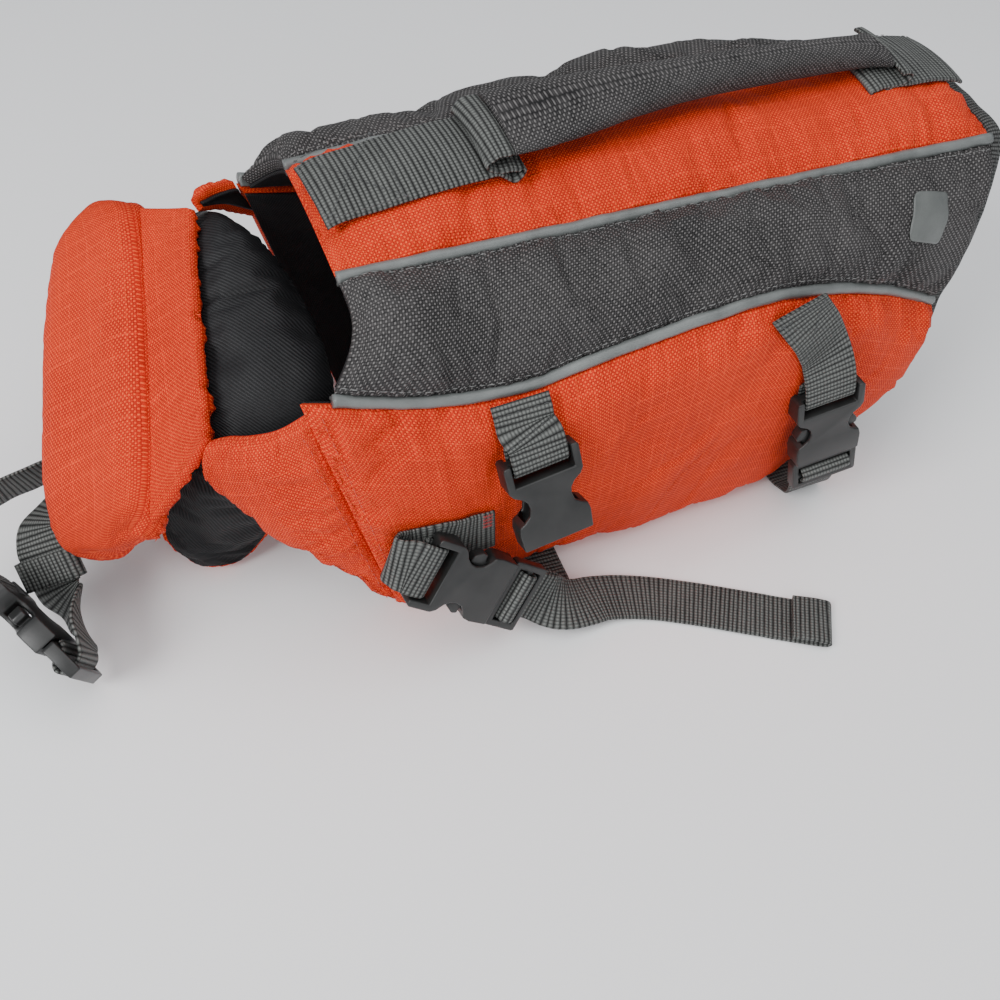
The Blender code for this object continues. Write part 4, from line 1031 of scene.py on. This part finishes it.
def ribbon(name, rows, width=WEB, columns=9, skew=0.0):
    """Webbing through rows; its upper face is on the side of across x tangent. Returns its path."""
    rows = denser(rows, WEB_STEP)
    stops, sections, run = [], [], 0.0
    for k, row in enumerate(rows):
        run += (Vector(row[:3]) - Vector(rows[max(k - 1, 0)][:3])).length
        tangent = heading(rows, k).normalized()
        across = square_to(row[3:6], tangent)
        up = across.cross(tangent)
        under = row.z - abs(across.z) * width / 2 - abs(up.z) * (WEB_T / 2 + CLEAR)
        slant = tangent * (skew * max(1.0 - run / 12.0, 0.0))      # where its end is cut along a seam
        stops.append((Vector((row.x, row.y, row.z - min(under, 0.0))), across + slant, up))
        sections.append(flat_section(width, columns, 0.10 * abs(math.sin(math.pi * run / RIB)) - 0.05))
    sweep(name + "_webbing", stops, sections, WEBBING, [name], droops=[row.sag for row in rows])
    return stops


def resting(cloth, place, out, across, along, half, sag=0.0):
    """Middle of webbing that lies on the facets of a panel, raised along out until it clears them."""
    heights = []
    for k in (-1.0, -0.5, 0.0, 0.5, 1.0):
        for ahead in (-3.5, 0.0, 3.5):
            start = place + across * (half * k) + along * ahead + out * 20.0
            spot = facets[cloth].ray_cast(start, -out, 40.0)[0]
            if spot is not None:
                heights.append((spot - place).dot(out) + sag * k * k)
    return place + out * (max(heights) + GAP + 0.5 + WEB_T / 2)


def side_rows(cloth, pocket, stations, upright=False):
    """Rows of webbing that lies on a panel; stations are (u, v)."""
    halfway = [((u + u2) / 2, (v + v2) / 2) for (u, v), (u2, v2) in zip(stations, stations[1:])]
    stations = [spot for pair in zip(stations, halfway) for spot in pair] + [stations[-1]]
    spots = [on_panel(pocket, u, v) for u, v in stations]
    rows = []
    for k, (place, out) in enumerate(spots):
        run = (spots[min(k + 1, len(spots) - 1)][0] - spots[max(k - 1, 0)][0]).normalized()
        across = Vector((0, 0, 1)) if upright else run.cross(out).normalized()
        rows.append(Turn(*resting(cloth, place, out, across, run, WEB / 2), *across))
    return rows


def laid(across, *places):
    """Rows of webbing that all lie the same way across."""
    return [Turn(*place, *across) for place in places]


# ---------------------------------------------------------------- handle over the back
HANDLE_TILT = 0.06    # how much the handle leans to the near side across its width
CROWN_SAG = 1.5       # how far the edges of the wide webbing hang below its middle


def cross_slope(x):
    """How much the back rises towards its far side."""
    rib = smooth(RIBS, x / BACK_L)
    return rib.rise / (2 * rib.top) + HANDLE_TILT


def back_height(x, y):
    """Height of the outer cloth of the back at x, y."""
    return facets["back_panel"].ray_cast(Vector((x, y, 200.0)), Vector((0, 0, -1)), 150.0)[0].z


def handle_row(x, y, z=None):
    """Row of the handle's webbing: on the crown of the back, or at height z above it."""
    slope, sag, half = cross_slope(x), CROWN_SAG, WEB_WIDE / 2
    across = Vector((0.0, -1.0, -slope)).normalized()
    if z is None:
        inside = min(max(x, 0.4), BACK_L - 0.4)
        near, middle, far = (back_height(inside, y + a) for a in (-half, 0.0, half))
        sag = min(max(middle - (near + far) / 2, 0.0), CROWN_SAG)
        z = resting("back_panel", Vector((x, y, middle)), Vector((0, 0, 1)), across,
                    Vector((1, 0, 0)), half, sag).z
    return Turn(x, y, z, *across, sag)


# each end of the handle lies on the back, then folds up and over to the grip; x of the part that lies, and
# the places of the fold
FRONT_LIES = (0.5, 4.0, 9.0, 13.5, 18.0, 25.0, 32.0, 40.0, 48.0, 53.0, 58.0)
FRONT_FOLD = ((65.0, -1.1, 145.6), (67.0, -1.1, 148.0), (64.0, -1.1, 149.4), (58.0, -1.1, 149.8),
              (54.8, -1.1, 151.9), (57.0, -1.1, 154.6), (62.9, -1.0, 155.3))
REAR_LIES = (250.0, 246.0, 241.0, 237.5, 234.0, 229.5, 225.0, 221.0, 217.0)
REAR_FOLD = ((210.5, 7.0, 144.6), (208.2, 7.0, 146.1), (211.0, 7.0, 147.5), (217.0, 7.0, 147.7),
             (222.4, 7.0, 148.4), (224.0, 7.0, 150.2), (222.4, 7.0, 151.7), (219.6, 7.0, 151.7))
Grip = namedtuple("Grip", "x y z width thick")
GRIP = (
    Grip(63.7, -1.0, 155.2, 32.0, 4.4),
    Grip(76.0, -0.9, 155.8, 31.0, 6.0),
    Grip(92.0, -0.5, 156.2, 27.0, 8.2),
    Grip(115.0, 0.5, 156.6, 20.0, 9.2),
    Grip(140.0, 1.6, 156.4, 15.5, 9.6),
    Grip(165.0, 2.8, 155.4, 13.5, 9.6),
    Grip(188.0, 4.6, 154.0, 13.0, 9.2),
    Grip(208.0, 6.2, 152.4, 15.5, 7.0),
    Grip(219.0, 7.0, 151.5, 21.0, 4.6),
)
GRIP_SIDES, GRIP_STOPS = 56, 118
GRIP_MAP = 7.0        # radius that turns an angle round the grip into a distance across its cloth


def grip_sleeve():
    """Rounded sleeve of coarse cloth round the handle, flat where the webbing goes in, with a lapped seam."""
    points, faces, maps, xs, sides, stops = [], [], [], [], GRIP_SIDES, GRIP_STOPS
    for k in range(stops + 1):
        row = smooth(GRIP, k / stops)
        xs.append(row.x)
        for i in range(sides):
            a = 2 * math.pi * (i + 0.5) / sides
            c, s = math.cos(a), math.sin(a)
            dent = (1.0 + 0.035 * wobble(row.x / 9.0, 3.0 * c, 83.0 + s)
                    + 0.05 * wobble(row.x / 24.0, c, 85.0 + s))
            uneven = 1.0 + 0.02 * wobble(row.x / 12.0, 0, 89.0)
            across = math.copysign(abs(c) ** 0.6, c) * row.width / 2 * uneven
            seam = math.exp(-((a - 4.9) / 0.10) ** 2) * 0.5
            up = math.copysign(abs(s) ** 0.8, s) * row.thick / 2 * dent - seam
            sag = CROWN_SAG * (2 * across / WEB_WIDE) ** 2 + cross_slope(row.x) * across
            points.append(Vector((row.x, row.y - across, row.z + up - sag)))
    step = GRIP_MAP * 2 * math.pi / sides
    for k in range(stops):
        for i in range(sides):
            j = (i + 1) % sides
            faces.append((k * sides + i, k * sides + j, (k + 1) * sides + j, (k + 1) * sides + i))
            maps.append([(xs[k], i * step), (xs[k], (i + 1) * step), (xs[k + 1], (i + 1) * step),
                         (xs[k + 1], i * step)])
    last = stops * sides
    for ring in (tuple(range(sides)), tuple(last + i for i in reversed(range(sides)))):
        faces.append(ring)
        maps.append([(points[i].y, points[i].z) for i in ring])
    piece("handle_grip_sleeve", points, faces, maps, CHARCOAL, ["handle_grip"])


front_rows = [handle_row(x, 0.03 * x - 3.0) for x in FRONT_LIES] + [handle_row(*spot) for spot in FRONT_FOLD]
front_web = ribbon("handle_webbing_front", front_rows, WEB_WIDE, 16)
grip_sleeve()
rear_rows = [handle_row(x, 7.0) for x in REAR_LIES] + [handle_row(*spot) for spot in REAR_FOLD]
rear_web = ribbon("handle_webbing_rear", rear_rows, WEB_WIDE, 16)

# ---------------------------------------------------------------- straps and buckles
# A buckle's own axes: w across, l from the webbing bar to the mouth and on to the slider's end, n outward.
Seat = namedtuple("Seat", "place along across")   # where a buckle's bar is, and how it lies
MID = Seat((48.9, -78.0, 83.0), (0.118, -0.381, -0.917), (-1.0, 0.0, -0.02))
REAR = Seat((167.0, -76.7, 71.5), (0.191, -0.119, -0.975), (-1.0, 0.08, -0.17))
BREAST = Seat((6.1, -83.9, 47.4), (0.803, -0.175, -0.569), (-0.594, -0.277, -0.754))
NECK = Seat((-130.8, -27.9, 32.4), (0.479, -0.816, -0.324), (0.102, 0.419, -0.902))
LOOSE = Seat((92.0, 139.0, 1.2), (-0.12, -0.99, 0.092), (1.0, -0.12, 0.0))    # male half behind the far side

# places (l, n) of the webbing: round the bar, into the slider and out of it
OVER_BAR = ((-5.0, 2.4), (-1.5, 2.8), (1.6, 2.9), (4.2, 2.4), (5.8, 0.0), (4.2, -2.4), (1.6, -2.9),
            (-1.5, -2.7), (-4.0, -2.1))
SLIDER_IN = ((54.0, -6.4), (48.0, -5.6), (42.0, -5.2), (38.9, -4.0), (37.7, -1.5), (38.0, 2.0))
SLIDER_OUT = ((40.6, 4.0), (43.4, 2.2), (43.4, -1.5), (44.6, -3.4), (48.0, -3.7))
SLIDER_SLACK = ((39.5, -6.8), (42.6, -4.6), (43.6, -1.6), (43.4, 2.2), (40.7, 4.0), (38.0, 2.2),
                (37.8, -0.8), (36.6, -2.9), (34.4, -3.4))


def seat_axes(seat):
    along = Vector(seat.along).normalized()
    across = square_to(seat.across, along)
    return Vector(seat.place), along, across, across.cross(along)


def seat_point(seat, w, l, n):
    place, along, across, out = seat_axes(seat)
    return place + across * w + along * l + out * n


def wrapped(seat, places, across_sign=1.0):
    """Webbing rows from places (l, n) in a buckle's own axes."""
    across = seat_axes(seat)[2] * across_sign
    return laid(across, *(seat_point(seat, 0.0, l, n) for l, n in places))


near, far = ("lower_panel_near", lower[-1]), ("lower_panel_far", lower[1])
webs = {}


def strap(name, rows, skew=0.0):
    webs[name] = ribbon(name, rows, skew=skew)


strap("mid_tab", side_rows(*near, ((0.268, 0.008), (0.268, 0.085))) + wrapped(MID, OVER_BAR))
strap("rear_tab", side_rows(*near, ((0.662, 0.008), (0.703, 0.10), (0.728, 0.165)))
      + wrapped(REAR, OVER_BAR), -0.42)

# the chest tab lies along the panel, turns over at its front end and comes back to the buckle
level = side_rows(*near, ((0.199, 0.53), (0.165, 0.535), (0.13, 0.535), (0.10, 0.53)), True)
turn_over = [Turn(3.0, -76.8, 49.6, 0.05, 0.0, 1.0), Turn(-2.0, -78.0, 51.3, 0.3, 0.0, 0.95),
             Turn(-3.4, -80.8, 52.2, 0.32, 0.0, 0.95), Turn(-1.6, -83.7, 52.2, 0.4, 0.15, 0.9)]
strap("chest_tab", level + turn_over + wrapped(BREAST, OVER_BAR[:-1], -1.0))

# chest strap: far side, under the hem, slider, and its free tail with the end folded over
LENGTHWISE = (1.0, 0.0, 0.0)
under = laid(LENGTHWISE, (62.5, 75.5, 6.5), (62.2, 71.0, 1.9), (61.5, 62.0, 1.0), (61.0, 0.0, 1.0),
             (60.0, -60.0, 1.0), (59.5, -70.0, 1.0))
under += [Turn(58.8, -76.5, 2.2, 0.98, -0.15, 0.03), Turn(55.5, -81.5, 6.4, 0.9, -0.1, 0.34)]
tail = wrapped(BREAST, ((54.5, -3.7),), -1.0)
tail += [Turn(*seat_point(BREAST, 0.0, 60.0, -3.2), 0.5, 0.5, 0.6), Turn(60.0, -93.0, 9.8, 0.35, 0.85, 0.3),
         Turn(66.5, -93.0, 7.4, 0.3, 0.95, 0.1), Turn(74.0, -92.3, 5.0, 0.36, 0.93, 0.0),
         Turn(83.0, -93.4, 2.8, 0.45, 0.89, 0.0), Turn(94.0, -97.0, 1.3, 0.5, 0.86, 0.0)]
tail += laid((0.55, 0.84, 0.0), (107.0, -104.0, 1.0), (130.0, -118.5, 1.0), (151.6, -132.0, 1.0),
             (153.1, -132.9, 1.4), (153.7, -133.3, 2.2), (153.1, -132.9, 3.0), (151.6, -132.0, 3.4),
             (141.6, -125.7, 3.2))
strap("chest_strap", side_rows(*far, ((0.19, 0.50), (0.22, 0.62), (0.25, 0.74), (0.28, 0.86)))
      + under + wrapped(BREAST, SLIDER_IN + SLIDER_OUT, -1.0) + tail)

# belly strap: far side, under the hem at the tail, slider and a short end
under = laid(LENGTHWISE, (183.5, 82.5, 9.5), (183.0, 76.5, 3.4), (182.5, 70.0, 1.0), (182.5, 0.0, 1.0),
             (182.5, -56.0, 1.0), (182.5, -62.0, 1.0), (182.5, -69.0, 3.4))
strap("belly_strap", side_rows(*far, ((0.677, 0.03), (0.715, 0.15), (0.755, 0.30), (0.80, 0.47),
                                      (0.85, 0.64), (0.885, 0.76), (0.90, 0.84)))
      + under + wrapped(REAR, SLIDER_IN + SLIDER_OUT + ((53.0, -4.2),), -1.0))

# middle strap: sewn under the far piping, hangs down outside and ends in the loose male half
strap("mid_strap", side_rows(*far, ((0.242, 0.03), (0.275, 0.15), (0.315, 0.30), (0.35, 0.47),
                                    (0.378, 0.64), (0.40, 0.78)))
      + laid(LENGTHWISE, (83.5, 85.0, 13.5)) + wrapped(LOOSE, SLIDER_IN[1:] + SLIDER_OUT))

# neck strap: both ends are sewn under the float's hinge; one goes to the slider, one to the webbing bar
near_end = [Turn(-72.0, 0.0, 55.0, 0.2, 0.9, 0.38), Turn(-86.0, -1.0, 46.5, 0.1, 0.9, 0.1),
            Turn(-98.0, -3.0, 40.5, 0.0, 0.9, -0.2), Turn(-107.5, -6.5, 38.8, -0.3, 0.75, -0.45),
            Turn(-112.5, -11.5, 37.0, -0.7, 0.5, -0.45), Turn(-113.6, -17.9, 33.5, -0.85, 0.3, -0.42),
            Turn(-112.5, -24.0, 27.0, -0.85, 0.3, -0.42), Turn(-111.4, -30.1, 20.5, -0.83, 0.32, -0.45),
            Turn(*seat_point(NECK, 12.5, 20.5, -12.5), -0.6, 0.4, -0.65),
            Turn(*seat_point(NECK, 7.0, 27.5, -11.5), -0.2, 0.45, -0.87),
            Turn(*seat_point(NECK, 2.0, 34.0, -9.2), 0.1, 0.42, -0.9)]
strap("neck_strap_near", near_end + wrapped(NECK, SLIDER_SLACK))
far_end = [Turn(-68.0, 24.0, 62.0, 0.2, 0.9, 0.38), Turn(-83.0, 22.0, 51.0, 0.15, 0.9, 0.0),
           Turn(-96.0, 18.0, 41.5, 0.1, 0.7, -0.6)]
far_end += laid((0.1, 0.42, -0.9), (-110.0, 14.0, 36.5), (-124.0, 12.0, 34.5), (-134.0, 7.0, 33.6),
                (-138.0, -2.0, 33.2), (-137.5, -11.0, 33.4), (-135.8, -19.0, 33.8))
strap("neck_strap_far", far_end + wrapped(NECK, OVER_BAR))


def keeper(name, turns, length, inner_w, inner_t):
    """Sleeve of webbing round the strap, sewn into a ring."""
    half_t = WEB_T / 2
    along = heading(turns, 1).normalized()
    across = square_to(turns[1][3:6], along)
    up, middle, corner, frames = across.cross(along), Vector(turns[1][:3]), inner_t / 2 + half_t, []
    for sx in (1, -1):
        for a in range(-90, 91, 15):
            c, s = math.cos(math.radians(a)) * sx, math.sin(math.radians(a)) * sx
            spot = across * (sx * (inner_w / 2 - corner + half_t) + corner * c) + up * (corner * s)
            frames.append((middle + spot, along, across * c + up * s))
    section = [(length / 2 * k, -half_t) for k in (-1, -0.5, 0, 0.5, 1)]
    section += [(a, half_t) for a, _ in reversed(section)]
    sweep(name + "_webbing", frames, [section] * len(frames), WEBBING, [name], closed=True)


keeper("neck_keeper", near_end[5:8], 11.0, 22.4, 3.8)


def made_flat(raw):
    """The mesh of an object after its modifiers; the object itself goes."""
    mesh = bpy.data.meshes.new_from_object(raw.evaluated_get(bpy.context.evaluated_depsgraph_get()))
    bpy.data.objects.remove(raw, do_unlink=True)
    return mesh


def softened(node):
    """A moulded half with its corners rounded over."""
    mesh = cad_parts[node].data.copy()
    shape = bmesh.new()
    shape.from_mesh(mesh)
    bmesh.ops.remove_doubles(shape, verts=shape.verts, dist=1e-6)
    bmesh.ops.dissolve_limit(shape, angle_limit=math.radians(1.5), verts=shape.verts, edges=shape.edges)
    shape.to_mesh(mesh)
    shape.free()
    raw = linked(node + "_raw", mesh)
    round_over = raw.modifiers.new("round_over", "BEVEL")
    round_over.width, round_over.segments = 0.55 * MM, 3
    round_over.limit_method, round_over.angle_limit = "ANGLE", math.radians(28)
    round_over.use_clamp_overlap = True
    tidy = made_flat(raw)
    tidy.materials.clear()
    tidy.materials.append(PLASTIC)
    tidy.polygons.foreach_set("use_smooth", [True] * len(tidy.polygons))
    tidy.set_sharp_from_angle(angle=math.radians(38))
    finish_piece(linked(node + "_moulding", tidy), PLASTIC, node)


for half in ("mid", "rear", "chest", "neck"):
    softened(half + "_female")
    softened(half + "_male")


# ---------------------------------------------------------------- reflective patches
PLATE = 22            # squares of its grid each way


def panel_patch(name, pocket, cloth, u, v, half_s, half_t, corner):
    """Film pressed on a panel: a plain plate with round corners that follows the cloth under it."""
    width, length = width_at(pocket, u), pocket.length
    bases, outs, heights, spots = [], [], [], []
    for a in (-1.0 + 2.0 * i / PLATE for i in range(PLATE + 1)):
        cut_in = max(abs(a) * half_s - (half_s - corner), 0.0)
        reach = half_t - (corner - math.sqrt(max(corner ** 2 - cut_in ** 2, 0.0)))
        spots.append([(a * half_s, (-1.0 + 2.0 * j / PLATE) * reach) for j in range(PLATE + 1)])
        row = [draped(pocket, cloth, u + a * half_s / length, v + b / width) for _, b in spots[-1]]
        bases.append([spot for spot, _, _ in row])
        outs.append([out for _, out, _ in row])
        heights.append([(hit - spot).dot(out) for spot, out, hit in row])
    level = np.array(heights)
    for _ in range(8):           # the film bridges the smallest puckers
        edged = np.pad(level, 1, "edge")
        level = (edged[:-2, 1:-1] + edged[2:, 1:-1] + edged[1:-1, :-2] + edged[1:-1, 2:]) / 4.0
    level = np.maximum(level, np.array(heights) - 0.25) + 0.1

    def film(lift):
        return [[p + o * (h + lift) for p, o, h in zip(*rows)] for rows in zip(bases, outs, level.tolist())]

    sheet_between(name + "_film", film(0.4), film(0.05), spots, PATCH, [name])


for side, where in SIDES:
    panel_patch("reflective_patch_" + where, flank[side], "side_panel_" + where, 0.865, 0.46, 8.4, 8.0, 2.4)


# ---------------------------------------------------------------- sewing
def stitch_tree():
    """Instances of one thread float along each run, turned along it."""
    tree = bpy.data.node_groups.new("run_of_stitches", "GeometryNodeTree")
    for name, kind in (("Geometry", "Geometry"), ("Spacing", "Float"), ("Float length", "Float"),
                       ("Thread", "Float"), ("Look", "Material")):
        tree.interface.new_socket(name, in_out="INPUT", socket_type="NodeSocket" + kind)
    tree.interface.new_socket("Geometry", in_out="OUTPUT", socket_type="NodeSocketGeometry")
    given, result, line, resample, put, ball, shaped, size, tangent, turn, real, paint, round_look = (
        tree.nodes.new(kind) for kind in (
            "NodeGroupInput", "NodeGroupOutput", "GeometryNodeMeshToCurve", "GeometryNodeResampleCurve",
            "GeometryNodeInstanceOnPoints", "GeometryNodeMeshUVSphere", "GeometryNodeTransform",
            "ShaderNodeCombineXYZ", "GeometryNodeInputTangent", "FunctionNodeAlignRotationToVector",
            "GeometryNodeRealizeInstances", "GeometryNodeSetMaterial", "GeometryNodeSetShadeSmooth"))
    resample.mode, turn.axis = "LENGTH", "X"
    for socket, value in (("Segments", 6), ("Rings", 5), ("Radius", 0.5)):
        ball.inputs[socket].default_value = value
    for source, out, target, into in (
            (given, "Geometry", line, 0), (line, 0, resample, "Curve"),
            (given, "Spacing", resample, "Length"), (resample, 0, put, "Points"),
            (given, "Float length", size, 0), (given, "Thread", size, 1),
            (given, "Thread", size, 2), (ball, "Mesh", shaped, "Geometry"), (size, 0, shaped, "Scale"),
            (shaped, 0, put, "Instance"), (tangent, 0, turn, "Vector"), (turn, 0, put, "Rotation"),
            (put, 0, real, 0), (real, 0, round_look, 0), (round_look, 0, paint, "Geometry"),
            (given, "Look", paint, "Material"), (paint, 0, result, 0)):
        tree.links.new(source.outputs[out], target.inputs[into])
    return tree


STITCHES = stitch_tree()
OVER_WEB = 0.78       # from the middle of webbing to a thread on it


def sew(name, runs, look, spacing=3.1, length=2.5, thick=THREAD):
    """Rows of stitches along runs of points."""
    points, edges = [], []
    for run in runs:
        edges += [(len(points) + k, len(points) + k + 1) for k in range(len(run) - 1)]
        points += [placed(p) for p in run]
    mesh = bpy.data.meshes.new(name + "_runs")
    mesh.from_pydata(points, edges, [])
    raw = linked(name + "_runs", mesh)
    row = raw.modifiers.new("row", "NODES")
    row.node_group = STITCHES
    socket = {item.name: item.identifier for item in STITCHES.interface.items_tree if item.in_out == "INPUT"}
    for key, value in (("Spacing", spacing * MM), ("Float length", length * MM), ("Thread", thick * MM),
                       ("Look", look)):
        row[socket[key]] = value
    finish_piece(linked(name, made_flat(raw)), look)


def panel_run(pocket, cloth, spots):
    """Points just over a panel's cloth at the spots (u, v)."""
    return [hit + out * 0.12 for _, out, hit in (draped(pocket, cloth, u, v, 14.0) for u, v in spots)]


def spread(start, reach, count):
    return [start + reach * k / count for k in range(count + 1)]


def beside(pocket, mm, us, far_edge=False):
    """(u, v) spots that keep a distance in mm from a long side of a panel."""
    shares = [(u, mm / width_at(pocket, u)) for u in us]
    return [(u, 1.0 - share if far_edge else share) for u, share in shares]


grey_runs, orange_runs = [], []
for side, where in SIDES:
    for far_edge in (False, True):
        grey_runs.append(panel_run(flank[side], "side_panel_" + where,
                                   beside(flank[side], 3.4, spread(0.01, 0.98, 120), far_edge)))
    orange_runs.append(panel_run(lower[side], "lower_panel_" + where,
                                 beside(lower[side], 6.0, spread(0.006, 0.982, 110), True)))
sew("side_panel_sewing", grey_runs, GREY_THREAD)
orange_runs += [
    panel_run(wing, "front_wing_near", [(0.055, v) for v in spread(0.06, 0.88, 40)]),
    panel_run(wing, "front_wing_near", beside(wing, 4.2, spread(0.05, 0.9, 60), True)),
    panel_run(lower[-1], "lower_panel_near", [(3.2 / LOW_L, v) for v in spread(0.05, 0.9, 70)]),
    panel_run(lobe, "chin_float", beside(lobe, 2.2, spread(0.03, 0.94, 90))),
    panel_run(border, "float_hinge_border", [(u, 0.10) for u in spread(0.03, 0.94, 60)]),
    panel_run(border, "float_hinge_border", [(u, 0.86) for u in spread(0.03, 0.94, 60)])]
sew("orange_sewing", orange_runs, ORANGE_THREAD)


def web_run(stops, first, last, start, end):
    """Points over webbing from a share of its path to another, start to end being their offsets across it."""
    lo, hi = int(first * (len(stops) - 1)), int(last * (len(stops) - 1))
    run = []
    for k in range(lo, hi + 1):
        place, across, up = stops[k]
        run.append(place + across * (start + (end - start) * ((k - lo) / max(hi - lo, 1))) + up * OVER_WEB)
    return run


def cross_run(stops, at, half, side=1.0):
    """A row from side to side across webbing."""
    place, across, up = stops[int(at * (len(stops) - 1))]
    return [place + across * (half * k / 8.0) + up * OVER_WEB * side for k in range(-8, 9)]


def box_and_cross(stops, first, last, half):
    """The square with a cross in it that holds webbing down."""
    runs = [web_run(stops, first, last, start, end)
            for start, end in ((half, half), (-half, -half), (half, -half), (-half, half))]
    return runs + [cross_run(stops, first, half), cross_run(stops, last, half)]


def share_at(stops, x):
    """How far along webbing, 0 to 1, its middle first passes a place along the back."""
    best = min(range(len(stops)), key=lambda k: abs(stops[k][0].x - x) + 0.02 * k)
    return best / (len(stops) - 1)


webbing_runs = box_and_cross(front_web, 0.02, share_at(front_web, 26.0), 16.0)
webbing_runs += [cross_run(front_web, share_at(front_web, 56.0), 16.5)]
webbing_runs += box_and_cross(rear_web, 0.04, share_at(rear_web, 226.0), 16.0)
webbing_runs += [cross_run(webs["mid_tab"], share, 8.0) for share in (0.10, 0.32)]
webbing_runs += box_and_cross(webs["rear_tab"], 0.05, 0.34, 8.0)
for name, half, side, shares in (
        ("chest_tab", 8.2, 1.0, (0.28, 0.34)), ("chest_strap", 8.4, -1.0, (0.985, 0.99)),
        ("mid_strap", 8.0, 1.0, (0.03, 0.08)), ("belly_strap", 8.0, 1.0, (0.02, 0.05))):
    webbing_runs += [cross_run(webs[name], share, half, side) for share in shares]
sew("webbing_sewing", webbing_runs, DARK_THREAD, 2.7, 2.1)

band_runs = [[place + away * 0.2 + up * (BAND_T / 2 + 0.1) * side for place, away, up in band_path]
             for side in (1.0, -1.0)]
sew("binding_sewing", band_runs, DARK_THREAD, 2.9, 2.3)

# bar tack that fixes the chest tab: rows across the webbing, half a millimetre apart
place, across, up = webs["chest_tab"][2]
onward = (webs["chest_tab"][8][0] - place).normalized()
tack = [[place + up * 0.85 + across * (9.2 - 0.35 * (k % 2)) + onward * (k * 0.5),
         place + up * 0.85 + across * 3.4 + onward * (k * 0.5 + 0.2)] for k in range(7)]
sew("chest_tab_bar_tack", tack, RED_THREAD, 1.5, 1.5, 0.3)

# ---------------------------------------------------------------- table
TABLE = 6.0           # half its width, in metres
table = bpy.data.meshes.new("table_top")
table.from_pydata([(-TABLE, -TABLE, 0.0), (TABLE, -TABLE, 0.0), (TABLE, TABLE, 0.0), (-TABLE, TABLE, 0.0)],
                  [], [(0, 1, 2, 3)])
table.materials.append(painted_table("white_table"))
linked("table_top", table)
